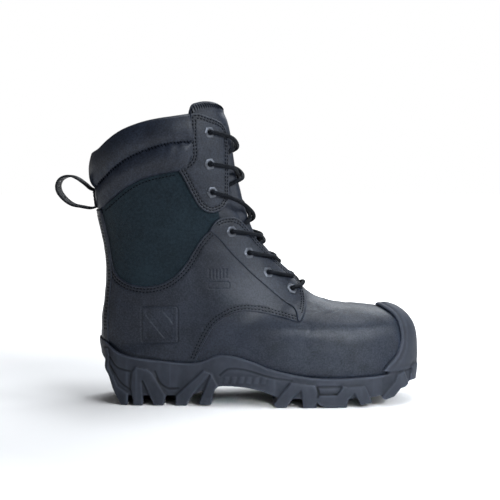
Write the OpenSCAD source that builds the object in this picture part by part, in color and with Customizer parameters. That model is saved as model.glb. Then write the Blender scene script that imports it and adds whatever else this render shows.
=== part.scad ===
// Laced leather work boot with a steel toe cap, right foot.
// Toe towards +X, laces to the front, outer side of the foot at -Y, ground at z = 0.
// The upper is one smooth surface: at every station a chord runs from the front line
// to the back line, and the surface goes round that chord. The leather, the stiffeners
// and the lining are thin shells of that surface, trimmed to their side-view outlines.

/* [Upper] */
// Half width of the upper at the ball of the foot
ball_hw = 54; // [52:0.5:55]
// Half width of the upper at the heel
heel_hw = 37; // [36:0.5:38]
// Half width of the shaft at the ankle
ankle_hw = 39.5; // [39:0.5:41]
// Half width of the shaft at the collar
collar_hw = 46; // [45:0.5:47]
// How far the rubber toe bumper stands proud of the leather
bumper_t = 3.5; // [2.5:0.25:4]
/* [Collar and tongue] */
// How far the collar rolls stand proud of the shaft
collar_bulge = 6; // [4:0.5:6.5]
// Thickness of the padded tongue
tongue_t = 7; // [6:0.5:8]
/* [Sole] */
// Width of the rubber wall outside the upper
wall_t = 4.5; // [4:0.25:5]
// How far the lugs stand proud of the sidewall
lug_relief = 2; // [1:0.25:2.5]
// Thickness of the removable footbed
footbed_t = 5; // [4:0.5:6]
/* [Lacing] */
// Diameter of the round lace
lace_d = 3.9; // [3:0.1:4]
// Bore of an eyelet
eyelet_bore = 5.2; // [4.8:0.1:5.4]
// Width across the corners of an eyelet
eyelet_w = 11.4; // [10:0.2:12]
/* [Pull loop] */
// Width of the webbing
loop_w = 22; // [18:1:24]
// Thickness of the webbing
loop_t = 2; // [1.5:0.25:2.5]

/* [Hidden] */
$fn = 32;

// Layers of the upper, as offsets from its surface
leather_in = -2;
stiffener_out = -2.2;
stiffener_in = -4;
lining_out = -4.3;
lining_in = -5.6;
footbed_out = -6.1;
overlay_in = 0.1;
overlay_out = 1.7;
seam = 0.25;

// Front line of the surface, from above the tongue down the instep to the toe tip [x, z]
front = [[-18, 296], [-11.5, 276], [-5.5, 256], [-1.5, 232], [4, 208], [11.5, 183],
         [22, 159], [36.5, 137.5], [51, 122], [63, 109.5], [72, 101.5], [79, 98],
         [86, 96], [94, 94], [103, 92.5], [114, 91.2], [127, 90], [141, 88],
         [154, 83.5], [163.5, 76], [169, 66], [171, 53]];
// Back line, down the Achilles, round the heel and along the bottom to the toe tip [x, z]
back = [[-138.5, 262], [-137.5, 240], [-137.5, 221], [-136, 203], [-133.5, 184],
        [-129.5, 164], [-125.5, 143], [-124.3, 121], [-126, 98], [-128.5, 74],
        [-127.5, 53], [-118, 38], [-90, 33.5], [-45, 33], [5, 29], [55, 23],
        [100, 20.5], [131, 22], [151, 23.5], [162, 25.5], [168, 29], [170.6, 37]];
heel_x = -129;
ball_x = 85;
toe_x = 171;
toe_shift = 7;
// The shells share one grid of stations and columns, so that their facets stay parallel
station_step = 0.8;
last_row = 26;
columns = 28;

function mix(a, b, k) = a + (b - a) * k;
function ease(e0, e1, x) = let(k = min(1, max(0, (x - e0) / (e1 - e0)))) k * k * (3 - 2 * k);
function unit(v) = v / norm(v);
function flat(l) = [for (a = l) each a];
function spline(p, t) =
    let(n = len(p), i = min(n - 2, max(0, floor(t))), u = t - i,
        a = p[max(0, i - 1)], b = p[i], c = p[i + 1], d = p[min(n - 1, i + 2)])
    b + 0.5 * u * ((c - a) + u * ((2 * a - 5 * b + 4 * c - d) + u * (3 * (b - c) + d - a)));
function smooth(p, step = 0.5) = [for (t = [0:step:len(p) - 1]) spline(p, t)];

// ---------- the surface of the upper ----------
function round_end(k, p, q) = pow(max(0, 1 - pow(max(0, k), p)), 1 / q);
function foot_hw(x) = mix(heel_hw, ball_hw, ease(-80, ball_x, x))
    * round_end((x - ball_x) / (toe_x - ball_x), 2.6, 2.2);
function shaft_hw(z) = mix(ankle_hw, collar_hw, ease(110, 250, z));
function half_width(p) = mix(foot_hw(p[0]), shaft_hw(p[1]), ease(65, 140, p[1]));
function midline(x) = toe_shift * (ease(0, 165, x) - 0.5);
function top_power(t) = mix(2.1, 2.6, ease(10, 15, t));
function bottom_power(t) = mix(mix(2.3, 3.4, ease(5, 9, t)), 10, ease(10, 12.5, t));

// A point of the surface: station t, angle a round it (0 at the front, 90 on the
// outer side, 180 at the back), moved outwards by off
function surf(t, a, off) =
    let(f = spline(front, t), k = spline(back, t), h = (k - f) / 2, l = norm(h),
        m = (f + k) / 2, c = -cos(a), q = m + h * c,
        p = m + h * (c * max(0.5, l + off) / l),
        e = pow(1 - pow(abs(c), c < 0 ? top_power(t) : bottom_power(t)),
                1 / (c < 0 ? top_power(t) : bottom_power(t))),
        w = max(0.3, half_width(q) + off) * e)
    [p[0] + off * ease(17, 20.5, t), midline(q[0]) - sign(sin(a)) * w, p[1]];

// The station and angle of the point of the outer side that is seen at p = [x, z]
function station(p, lo = 0, hi = 20.8, n = 16) =
    let(m = (lo + hi) / 2, f = spline(front, m))
    n == 0 ? m
           : cross(spline(back, m) - f, p - f) < 0 ? station(p, lo, m, n - 1)
                                                   : station(p, m, hi, n - 1);
function angle_at(t, p) =
    let(f = spline(front, t), d = spline(back, t) - f)
    acos(max(-1, min(1, 1 - 2 * ((p - f) * d) / (d * d))));
function outward(t, a) =
    let(n = cross(surf(t + 0.05, a, 0) - surf(t - 0.05, a, 0), surf(t, a + 2, 0) - surf(t, a - 2, 0)))
    unit(n) * (n[1] * sin(a) < 0 ? 1 : -1);

// ---------- meshes ----------
// Faces between rows of cols points, closed round each row
function tube_faces(rows, cols, first = 0, flip = false) =
    [for (i = [0:rows - 2]) for (j = [0:cols - 1])
        let(k = (j + 1) % cols, a = first + i * cols + j, b = first + i * cols + k,
            c = b + cols, d = a + cols)
        each flip ? [[a, c, b], [a, d, c]] : [[a, b, c], [a, c, d]]];
function ring(row, off) =
    [for (j = [0:columns - 1]) surf(row * station_step, -360 * (j + 0.5) / columns, off)];
function centre(points) = points * [for (p = points) 1 / len(points)];
function mean(points) = [for (i = [0:2]) centre([for (p = points) p[i]])];

// The shell between two offsets of the surface, from one row of the grid to another
module shell(inner, outer, row0, row1) {
    rows = row1 - row0 + 1;
    n = rows * columns;
    last = n - columns;
    rings = [for (off = [outer, inner]) for (i = [row0:row1]) ring(i, off)];
    ends = [for (off = [outer, inner]) mean(ring(row1, off))];
    next = function (j) (j + 1) % columns;
    rim = [for (j = [0:columns - 1])
              each [[j, n + next(j), next(j)], [j, n + j, n + next(j)]]];
    foot = row1 == last_row
        ? [for (j = [0:columns - 1])
              each [[last + j, last + next(j), 2 * n],
                    [n + last + next(j), n + last + j, 2 * n + 1]]]
        : [for (j = [0:columns - 1])
              each [[last + j, last + next(j), n + last + next(j)],
                    [last + j, n + last + next(j), n + last + j]]];
    polyhedron(concat(flat(rings), row1 == last_row ? ends : []),
               concat(tube_faces(rows, columns), tube_faces(rows, columns, n, true), rim, foot));
}

// Everything inside the surface at one offset
module inside(off, row0 = 6) {
    rows = last_row - row0 + 1;
    last = (rows - 1) * columns;
    next = function (j) (j + 1) % columns;
    polyhedron(concat(flat([for (i = [row0:last_row]) ring(i, off)]),
                      [mean(ring(row0, off)), mean(ring(last_row, off))]),
               concat(tube_faces(rows, columns),
                      [for (j = [0:columns - 1])
                          each [[next(j), j, last + columns],
                                [last + j, last + next(j), last + columns + 1]]]));
}

// Everything whose side view is the child outline: side 1 outer, -1 inner, 0 both
module seen(side = 0, depth = 100) {
    shift = side > 0 ? 0 : -depth;
    height = side == 0 ? 2 * depth : depth;
    translate([0, side * -seam / 2, 0]) rotate([90, 0, 0]) translate([0, 0, shift])
        linear_extrude(height) children();
}
module panel(inner, outer, side, row0, row1) {
    intersection() {
        shell(inner, outer, row0, row1);
        seen(side) children();
    }
}

// ---------- side-view outlines ----------
// Height of the upper's bottom surface, and the band between two heights above it
bottom_line = [for (t = [10.6:0.4:20.8]) spline(back, t)];
module band(low, high) {
    polygon(concat([for (p = bottom_line) p + [0, low]], [[180, 50 + low], [180, 50 + high]],
                   [for (i = [len(bottom_line) - 1:-1:0]) bottom_line[i] + [0, high]],
                   [[-145, bottom_line[0][1] + high], [-145, bottom_line[0][1] + low]]));
}
module above_board() {
    polygon(concat([[-145, 300], [-145, bottom_line[0][1] + 4.4]],
                   [for (p = bottom_line) p + [0, 4.4]], [[180, 55], [180, 300]]));
}

module upper_eyestay_outline() {
    polygon(smooth([[-43.7, 274.3], [-36, 274.6], [-27.1, 271.5], [-17.5, 267.5], [-12.5, 262],
                    [-10.2, 254], [-8.9, 228], [-8.2, 204], [-8.7, 194], [-13.1, 185.8],
                    [-22, 181.8], [-29.5, 183.4], [-36, 189], [-43.4, 202.2], [-50.4, 216],
                    [-53.9, 222], [-52.3, 226.8], [-45.7, 230.1], [-42.6, 236.5],
                    [-43.5, 251], [-43.7, 274.3]]));
}
module lower_eyestay_outline() {
    polygon(smooth([[-25.9, 164.9], [-21.4, 173], [-14, 177], [-5, 177.4], [2.5, 174.2],
                    [7.5, 168.8], [19.5, 153.2], [34, 136.9], [50, 124], [60.5, 115.5],
                    [66, 106.5], [66.8, 93], [63, 83], [57.7, 79.4], [54.5, 89.5],
                    [42.8, 98.5], [19.5, 118.3], [-3.7, 141.5], [-17.7, 157.9], [-25.9, 164.9]]));
}
module side_panel_outline() {
    difference() {
        polygon(smooth([[-127.4, 184.9], [-119.8, 192.9], [-108.1, 202.3], [-96.6, 209.6],
                        [-85, 214.6], [-73.3, 217.6], [-53.6, 221.3], [-35, 205], [-21, 180],
                        [-22.6, 172], [-25.9, 166], [-36.2, 153.5], [-45.5, 137.5],
                        [-54.8, 125.7], [-66.3, 117], [-80.3, 112.7], [-94.2, 113],
                        [-105.9, 117.5], [-114.6, 126.5], [-118.6, 146.6], [-123, 168],
                        [-127.4, 184.9]]));
        offset(delta = seam) upper_eyestay_outline();
        offset(delta = seam) lower_eyestay_outline();
    }
}
rim_line = [[-43.9, 275.2], [-57.1, 273], [-73, 270.6], [-88, 267.3], [-104.2, 261.7],
            [-114.6, 256], [-122.1, 250.4], [-130, 243.4], [-136, 240.2], [-148, 239.5]];
groove_line = [[-40, 249.3], [-61.8, 247.3], [-78.1, 243.6], [-96.7, 236], [-110.6, 227.6],
               [-122.2, 217], [-131, 208.3], [-148, 206]];
function reverse(p) = [for (i = [len(p) - 1:-1:0]) p[i]];
module collar_roll_upper_outline() {
    difference() {
        polygon(concat(smooth(rim_line), reverse(smooth(groove_line))));
        offset(delta = seam) upper_eyestay_outline();
    }
}
module collar_roll_lower_outline() {
    difference() {
        polygon(concat(smooth(groove_line), [[-148, 185.2], [-127.6, 185.2], [-60, 200], [-38, 215]]));
        offset(delta = 2 * seam) collar_roll_upper_outline();
        offset(delta = seam) upper_eyestay_outline();
        offset(delta = seam) side_panel_outline();
    }
}
vamp_line = [[-40, 20], [-38.9, 40.4], [-30.5, 59.2], [-23.9, 71.3], [-17.4, 78.8],
             [-3.6, 86.8], [10.3, 89.1], [31.1, 86.2], [49.5, 81.1], [57.6, 79.3],
             [63, 82.5], [66.8, 93]];
module quarter_outline() {
    difference() {
        polygon(concat(smooth(vamp_line), [[66, 106.5], [60.5, 115.5], [50, 124], [34, 136.9],
                                           [19.5, 153.2], [7.5, 168.8], [2.5, 174.2], [-5, 177.4],
                                           [-14, 177], [-24, 170], [-148, 184.7], [-148, 20]]));
        offset(delta = seam) side_panel_outline();
    }
}
module vamp_outline() {
    difference() {
        polygon([[-45, 15], [-45, 60], [-20, 110], [58, 117.5], [80, 125], [185, 125], [185, 15]]);
        offset(delta = seam) polygon(concat(smooth(vamp_line), [[66, 106.5], [58, 118], [0, 150],
                                            [-148, 150], [-148, 10]]));
    }
}
bumper_line = [[131, 20], [132.6, 28], [141.8, 38.1], [151.2, 47.6], [155.4, 58.3],
               [155, 69.6], [151.8, 78.4], [144.9, 87.2], [137.5, 93.4], [127, 98]];
backstay_line = [[-120, 66.4], [-120.3, 80], [-116.5, 110], [-114.5, 126], [-119, 148],
                 [-122.5, 168], [-124.5, 184.2]];

// ---------- sole ----------
feather_line = [[-140, 66], [-131, 64.5], [-125.9, 61.6], [-121.1, 55.3], [-115.8, 50.4],
                [-105.2, 46.5], [-89.3, 43.8], [-73.4, 42.2], [-57.5, 40.5], [-43.5, 39.9],
                [-34, 41.4], [-25.7, 45.2], [-18.3, 47.8], [-9.8, 48.4], [0.8, 46.5],
                [11.4, 43.2], [20, 40.5], [29.4, 36.4], [46.3, 31.9], [68.7, 27.9],
                [91.1, 26.8], [113.6, 27.4], [131, 28], [145, 29.5], [180, 31]];
tread_line = [[180, 24], [168, 21], [155, 15.5], [137, 10], [120, 8.2], [50, 8.2], [38, 9.5],
              [26, 14], [11, 17.5], [-5, 18.8], [-21, 18], [-34, 13.5], [-48, 9.5],
              [-100, 9], [-112, 11], [-121, 28], [-126, 40], [-140, 50]];
// Side view of each lug on the sidewall and the edge of the tread
lugs = [
    [[-129, 52], [-126.2, 38.9], [-122.3, 28.2], [-118.3, 15.2], [-113.6, 6], [-110, 0],
     [-103, 0], [-103.4, 10.9], [-113.6, 17.3], [-119, 28.2], [-123.2, 40], [-124.5, 53]],
    [[-98.9, 9], [-97.8, 0], [-88.5, 0], [-90.3, 27.2], [-78.3, 0], [-69, 0], [-66.9, 8.5],
     [-74.9, 21.9], [-79.7, 30.4], [-84.5, 34.1], [-95.1, 36.2], [-98.9, 31.4], [-100, 19.7]],
    [[-58, 0], [-47.2, 0], [-41.4, 10.1], [-24.8, 31.4], [-31.2, 33.6], [-57.3, 9]],
    [[-36, 1], [-24, 1], [-20.6, 15.4], [-17.4, 18.6], [-23.8, 30.5]],
    [[34.5, 3], [37, 0], [46.8, 0], [52.4, 8.9], [60.8, 17.3], [62.4, 0], [74.9, 0],
     [74.9, 16.2], [73.2, 21.2], [51.3, 24]],
    [[75.4, 8], [76.5, 3], [84.4, 0], [103.6, 0], [104.7, 6.9], [110.3, 13.7], [114.2, 7],
     [116.5, 2], [128, 3.5], [120.4, 19.9], [104.7, 19.3], [99, 20.5], [93.4, 12.2], [78.2, 12.2]],
    [[136.9, 8], [140, 5.4], [149.4, 7.8], [156.2, 14.9], [160.8, 15.4], [164.2, 18.3],
     [159.7, 31], [152.8, 28.5], [151.1, 22.8]],
    [[166.6, 21], [172.5, 21], [175, 36], [167.8, 34.5]]];

module upper_plan() {
    xs = [for (i = [0:32]) mix(heel_x, toe_x, 0.5 - 0.5 * cos(180 * i / 32))];
    heel_end = function (x) round_end((-88 - x) / (-88 - heel_x), 2.5, 2.2);
    polygon(concat([for (x = xs) [x, midline(x) - foot_hw(x) * heel_end(x)]],
                   reverse([for (x = xs) [x, midline(x) + foot_hw(x) * heel_end(x)]])));
}
module sole_plan(grow, height) {
    linear_extrude(height) offset(r = grow) upper_plan();
}
// The tread bars follow the toe up from the ground
module tread_bar(x, y, angle, length, width) {
    translate([x, midline(x) + y, 9 * ease(100, 160, x)]) rotate(angle)
        hull() for (s = [-1, 1]) translate([s * length / 2, 0, 0]) cylinder(d = width, h = 12);
}
module outsole() {
    bar_xs = [-104, -84, -62, 46, 64, 82, 100, 118, 136];
    color("#2b2f36") difference() {
        union() {
            intersection() {
                sole_plan(wall_t, 80);
                seen() polygon(concat(smooth(feather_line), smooth(tread_line)));
            }
            intersection() {
                difference() {
                    sole_plan(wall_t + lug_relief, 80);
                    translate([0, 0, -1]) sole_plan(-18, 82);
                }
                seen() for (p = lugs) polygon(p);
            }
            intersection() {
                translate([0, 0, -1]) sole_plan(-20, 30);
                for (x = bar_xs, s = [-1, 1])
                    tread_bar(x, s * foot_hw(x) * 0.27, s * 30, foot_hw(x) * 0.35, 8);
            }
            intersection() {
                sole_plan(wall_t + 0.8, 80);
                seen() for (i = [0:5]) translate([-12 + 7 * i, 0])
                    polygon([[0, 22], [3.5, 22], [5, 28], [1.5, 28]]);
            }
        }
        inside(0.2);
        midsole_blank(0.3);
    }
}
module midsole_blank(gap) {
    intersection() {
        sole_plan(-2.5 + gap, 60);
        seen() offset(delta = gap)
            polygon(concat([for (p = bottom_line) if (p[0] < 160) p],
                           reverse([[-116, 15], [-60, 15], [-38, 21], [-5, 23.5], [14, 22], [36, 16],
                                    [60, 13.2], [112, 13.2], [138, 16.5], [158, 24]])));
    }
}
module midsole() {
    color("#3a3f46") midsole_blank(0);
}
module sole_insert(inset, low, high) {
    intersection() {
        sole_plan(-inset, 60);
        seen() band(low, high);
    }
}
module shank_blank(gap) {
    intersection() {
        translate([-88 - gap, midline(-50) - 8 - gap, 20]) cube([112 + 2 * gap, 16 + 2 * gap, 30]);
        seen() band(0.6 - gap / 2, 1.9 + gap / 2);
    }
}
module bottom_filler() {
    color("#b58a5a") difference() {
        sole_insert(15, 0.8, 2.1);
        shank_blank(0.3);
    }
}
module shank() {
    color("silver") shank_blank(0);
}
module insole_board() {
    color("#c9b48a") intersection() {
        inside(-2.3);
        seen() band(2.4, 4.2);
    }
}
module footbed() {
    color("#4a4f57") intersection() {
        inside(footbed_out - 0.7);
        seen() band(-footbed_out, footbed_t - footbed_out);
        translate([0, 0, 20]) sole_plan(footbed_out - 2, 60);
    }
}

// ---------- stiffeners, padding and lining ----------
module steel_toe_cap() {
    color("silver") panel(stiffener_in, stiffener_out, 0, 17, last_row) intersection() {
        above_board();
        translate([113, 0]) square([90, 120]);
    }
}
module toe_cap_pad() {
    color("#5a5f66") panel(stiffener_in, stiffener_out, 0, 15, 21) intersection() {
        above_board();
        translate([104, 0]) square([8.6, 120]);
    }
}
counter_line = [[-60, 30], [-62, 60], [-84, 88], [-112, 104], [-150, 106]];
module heel_counter() {
    color("#8a8d90") panel(stiffener_in, stiffener_out, 0, 8, 18) intersection() {
        above_board();
        polygon(concat(smooth(counter_line), [[-150, 20], [-60, 20]]));
    }
}
module ankle_padding() {
    front_edge = [[-64, 262], [-66, 215], [-56, 185], [-46, 150], [-46, 118], [-74, 92],
                  [-108, 108], [-150, 109]];
    color("#d8c27a") panel(stiffener_in, stiffener_out, 0, 0, 13) intersection() {
        polygon(concat(smooth(front_edge), [[-150, 225]]));
        collar_inside_outline();
    }
}
module collar_inside_outline() {
    offset(delta = -1.5) polygon(concat(smooth(rim_line), [[-148, 20], [180, 20], [180, 125],
                                                           [60, 125], [-40, 275]]));
}
// The lining is sewn from three pieces, each a box of [x, z] corners in side view
lining_split_x = 25;
lining_split_z = 112;
module lining(low, high) {
    throat = [[-60, 285], [-56, 250], [-50, 225], [-44, 200], [-34, 176], [-16, 150],
              [6, 129], [30, 110], [52, 94], [74, 88], [90, 99], [110, 120]];
    color("#6a6f78") panel(lining_in, lining_out, 0, 0, last_row) difference() {
        intersection() {
            collar_inside_outline();
            above_board();
            translate(low) square(high - low);
        }
        polygon(concat(smooth(throat), [[60, 285]]));
    }
}

// ---------- leather, fabric and rubber of the upper ----------
module lasting_cut() {
    translate([0, 0, -1]) sole_plan(-14, 43);
}
module vamp() {
    color("#2c2e33") difference() {
        panel(leather_in, 0, 0, 11, last_row) vamp_outline();
        lasting_cut();
    }
}
module quarter(side) {
    color("#2c2e33") difference() {
        panel(leather_in, 0, side, 5, 20) quarter_outline();
        lasting_cut();
        throat_slot();
        eyelet_holes(lower_eyelets, side);
    }
}
module side_panel(side) {
    color("#1f3038") panel(leather_in, -0.2, side, 2, 12) side_panel_outline();
}
module lower_eyestay(side) {
    color("#2c2e33") difference() {
        panel(overlay_in, overlay_out, side, 5, 15) lower_eyestay_outline();
        throat_slot();
        eyelet_holes(lower_eyelets, side);
    }
}
module upper_eyestay(side) {
    color("#2c2e33") difference() {
        panel(leather_in, overlay_out, side, 0, 8) upper_eyestay_outline();
        eyelet_holes(upper_eyelets, side);
    }
}
module collar_roll(proud_x, row0, row1) {
    color("#2c2e33") union() {
        panel(leather_in, 0, 0, row0, row1) children();
        // Two steps of [inset from the roll's edge, share of the bulge, inner offset]
        for (step = [[1.5, 0.6, -1], [5, 1, 1]])
            panel(step[2], collar_bulge * step[1], 0, row0, row1) intersection() {
                offset(delta = -step[0]) children();
                translate([proud_x, 150]) square([200, 150]);
            }
    }
}
module collar_roll_upper() {
    collar_roll(-170, 0, 6) collar_roll_upper_outline();
}
module collar_roll_lower() {
    collar_roll(-121, 0, 8) collar_roll_lower_outline();
}
module backstay() {
    color("#2c2e33") panel(overlay_in, overlay_out, 0, 4, 15)
        polygon(concat(smooth(backstay_line), [[-145, 184.2], [-145, 66.4]]));
}
module toe_bumper() {
    color("#24272c") panel(overlay_in, bumper_t, 0, 17, last_row) intersection() {
        polygon(concat(smooth(bumper_line), [[185, 98], [185, 20]]));
        polygon([[120, 28.9], [145, 30.3], [163.5, 31.6], [167, 36.6], [185, 38], [185, 110], [120, 110]]);
    }
}

// ---------- tongue ----------
// Angle of the facing's edge at each station, where the throat opens over the tongue
throat_edge = [[-12.5, 262], [-10.2, 254], [-8.9, 228], [-8.2, 204], [-8.7, 194],
               [2.5, 174.2], [7.5, 168.8], [19.5, 153.2]];
edge_table = [for (p = throat_edge) let(t = station(p)) [t, angle_at(t, p)]];
narrowest_edge = 14;
function facing_edge(t) = max(narrowest_edge, lookup(t, edge_table));
throat_hw = 10;
throat_end_r = 12;
throat_end_x = 53;
module throat_slot() {
    translate([0, midline(40), 100]) linear_extrude(124) union() {
        translate([-60, -throat_hw]) square([60 + throat_end_x, 2 * throat_hw]);
        translate([throat_end_x, 0]) circle(throat_end_r);
    }
}
tongue_start = 0.35;
tongue_end = 9.6;
tongue_angle = 50;
tongue_edge = -7.1;
function tongue_crown(t) = mix(-3.2, -5.5, ease(4, 6.5, t));
function tongue_top(t, a) =
    let(e = facing_edge(t)) mix(tongue_crown(t), tongue_edge, ease(0.2 * e, 0.65 * e, abs(a)));
function tongue_point(t, k, depth) =
    let(a = k * tongue_angle * round_end((1.3 - t) / 1.3, 2.5, 2),
        thick = tongue_t * mix(1, 0.45, ease(1, tongue_end, t)) * (1 - 0.75 * pow(abs(k), 3)))
    surf(t, a, tongue_top(t, a) - mix(0, 2.5, ease(8.6, tongue_end, t)) - depth * thick);
module tongue() {
    across = 10;
    ts = [for (i = [0:14]) mix(tongue_start, tongue_end, i / 14)];
    ks = [for (j = [0:across]) mix(-1, 1, j / across)];
    rows = [for (t = ts) concat([for (k = ks) tongue_point(t, k, 0)],
                                [for (k = reverse(ks)) tongue_point(t, k, 1)])];
    n = 2 * across + 2;
    color("#2c2e33") polyhedron(flat(rows), concat(
        tube_faces(len(ts), n, 0, true),
        [[for (j = [0:n - 1]) j]], [[for (j = [n - 1:-1:0]) (len(ts) - 1) * n + j]]));
}
module gusset(side) {
    inner_edge = [[-46, 184], [-38, 170], [-24, 152], [-4, 132], [20, 113], [36, 101]];
    color("#202327") panel(-3.2, -2.4, side, 5, 13) polygon(concat(
        smooth(inner_edge), reverse(smooth([for (p = inner_edge) p + [7, 4]]))));
}

// ---------- eyelets and lace ----------
// Eyelets from the toe upwards [x, z]
lower_eyelets = [[51.5, 107.8], [28.9, 123.9], [10.7, 143], [-5.5, 163.7]];
upper_eyelets = [[-23.6, 201.1], [-26, 227.5], [-26.5, 257]];
all_eyelets = concat(lower_eyelets, upper_eyelets);
barrel_r = eyelet_bore / 2 + 0.8;
flange_t = 0.8;
mouth = overlay_out + flange_t + 0.1;
throat_depth = -2.5;

// Position and outward direction of an eyelet
eyelet_t = [for (p = all_eyelets) station(p)];
eyelet_a = [for (i = [0:6]) angle_at(eyelet_t[i], all_eyelets[i])];
function eyelet_seat(i, side) = surf(eyelet_t[i], side * eyelet_a[i], 0);
function eyelet_axis(i, side) = outward(eyelet_t[i], side * eyelet_a[i]);
module at_eyelet(i, side) {
    n = eyelet_axis(i, side);
    translate(eyelet_seat(i, side)) rotate([0, acos(n[2]), atan2(n[1], n[0])]) children();
}
module eyelet_holes(which, side) {
    first = which == lower_eyelets ? 0 : len(lower_eyelets);
    for (i = [first:first + len(which) - 1])
        at_eyelet(i, side) translate([0, 0, -5]) cylinder(r = barrel_r + 0.15, h = 10);
}
module eyelets(first, last) {
    color("#9aa0a6") for (i = [first:last], side = [1, -1])
        at_eyelet(i, side) difference() {
            union() {
                translate([0, 0, throat_depth]) cylinder(r = barrel_r, h = mouth - throat_depth);
                translate([0, 0, mouth - flange_t]) cylinder(d = eyelet_w, h = flange_t, $fn = 6);
            }
            translate([0, 0, throat_depth - 1])
                cylinder(d = eyelet_bore, h = mouth - throat_depth + 2);
        }
}

// The lace turns over an eyelet's edge on this radius
lace_r = lace_d / 2;
lace_turn = lace_r + 0.45;
lace_top = mouth + lace_turn;
lace_under = throat_depth - lace_turn;
// Quarter turn out of the eyelet (inwards when end is -1) towards the point ahead
function quarter_turn(i, side, end, ahead) =
    let(n = eyelet_axis(i, side) * end, s = eyelet_seat(i, side),
        base = s + n * (end > 0 ? mouth : -throat_depth), v = ahead - base,
        d = unit(v - n * (v * n)))
    [for (a = [0:30:90]) base + lace_turn * (n * sin(a) + d * (1 - cos(a)))];
// One crossing, from inside eyelet i on one side up to outside eyelet i + 1 on the other.
// The strand stays under the facing as far as its edge, and is over the next one at its edge.
function crossing(i, side, over) =
    let(j = i + 1,
        middle = (eyelet_t[i] + eyelet_t[j]) / 2,
        clear_of = facing_edge(middle) - 3.5,
        under = lace_under - (i == 0 ? 1.2 : 0),
        top = tongue_crown(middle) + lace_turn + 0.1 + (over ? lace_d + 0.9 : 0),
        path = function (u)
            let(a = mix(eyelet_a[i], -eyelet_a[j], u))
            surf(mix(eyelet_t[i], eyelet_t[j], ease(0.05, 0.95, u)), side * a,
                 mix(top, a > 0 ? under : lace_top, ease(0, clear_of, abs(a)))),
        from = quarter_turn(i, side, -1, path(0.2)), to = quarter_turn(j, -side, 1, path(0.8)))
    concat(from, [for (u = [0.14:0.048:0.87]) path(u)], reverse(to));
function strand(side, i = 0) =
    i > 5 ? [] : concat(crossing(i, side, side * (i % 2 == 0 ? 1 : -1) > 0), strand(-side, i + 1));
// The end of a strand, tucked down between the tongue and the lining below the top eyelet
function tail(side) =
    let(p = [for (s = [[6.2, 6], [5.7, 9], [5.2, 10], [4.6, 9]])
                surf(eyelet_t[6] + (6.2 - s[0]) * 0.8 + 0.25, side * (eyelet_a[6] + s[1]), lace_under)])
    concat(quarter_turn(6, side, -1, p[0]), p);
function bar() =
    let(path = function (u) surf(eyelet_t[0] - 0.25 * sin(180 * u), mix(eyelet_a[0], -eyelet_a[0], u),
                                 lace_top))
    concat(quarter_turn(0, 1, 1, path(0.25)), [for (u = [0.16:0.085:0.85]) path(u)],
           reverse(quarter_turn(0, -1, 1, path(0.75))));
lace_path = concat(reverse(concat(strand(1), tail(1))), bar(), concat(strand(-1), tail(-1)));

// Round section carried along a path without twisting
function frames(p) =
    [for (i = 0, n = unit(cross(p[1] - p[0], [0, 1, 0.3])); i < len(p);
          i = i + 1,
          n = i < len(p) ? let(t = unit(p[min(i + 1, len(p) - 1)] - p[max(i - 1, 0)]),
                               m = n - t * (n * t)) unit(m) : n) n];
module round_sweep(path, r, sides = 6) {
    normals = frames(path);
    last = len(path) - 1;
    rings = [for (i = [0:last])
                let(t = unit(path[min(i + 1, last)] - path[max(i - 1, 0)]),
                    n = unit(normals[i] - t * (normals[i] * t)), b = cross(t, n))
                [for (a = [0:360 / sides:359]) path[i] + r * (n * cos(a) + b * sin(a))]];
    polyhedron(flat(rings), concat(tube_faces(last + 1, sides, 0, true),
        [[for (j = [0:sides - 1]) j]], [[for (j = [sides - 1:-1:0]) last * sides + j]]));
}
module lace() {
    color("#1b1d20") round_sweep(lace_path, lace_r);
}
aglet_l = 16;
aglet_gap = 0.2;
module aglets() {
    color("#30343a") for (ends = [[0, 1], [len(lace_path) - 1, len(lace_path) - 2]]) {
        tip = lace_path[ends[0]];
        away = unit(tip - lace_path[ends[1]]);
        translate(tip + away * aglet_gap) rotate([0, acos(away[2]), atan2(away[1], away[0])])
            cylinder(d = lace_d, h = aglet_l);
    }
}

// ---------- pull loop ----------
loop_line = [[-140.6, 203.4], [-147, 208.3], [-154, 213], [-161, 215.7], [-167.6, 215],
             [-172.6, 211.6], [-174.6, 205.6], [-172.6, 199], [-166.6, 192.4], [-159, 188],
             [-150, 186.3], [-140.6, 184.4]];
module loop_anchor() {
    color("#26292e") difference() {
        intersection() {
            shell(overlay_in, 2.4, 2, 6);
            seen() polygon([[-145, 185.5], [-126, 185.5], [-126, 203.5], [-145, 203.5]]);
            translate([-150, midline(-130) - loop_w / 2, 180]) cube([40, loop_w, 30]);
        }
    }
}
module pull_loop() {
    line = smooth(loop_line, 0.25);
    side_line = function (s) [for (i = [0:len(line) - 1])
        let(d = unit(line[min(i + 1, len(line) - 1)] - line[max(i - 1, 0)]))
        line[i] + s * loop_t / 2 * [-d[1], d[0]]];
    color("#26292e") translate([0, midline(-130) + loop_w / 2, 0]) rotate([90, 0, 0])
        linear_extrude(loop_w) polygon(concat(side_line(1), reverse(side_line(-1))));
}

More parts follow.
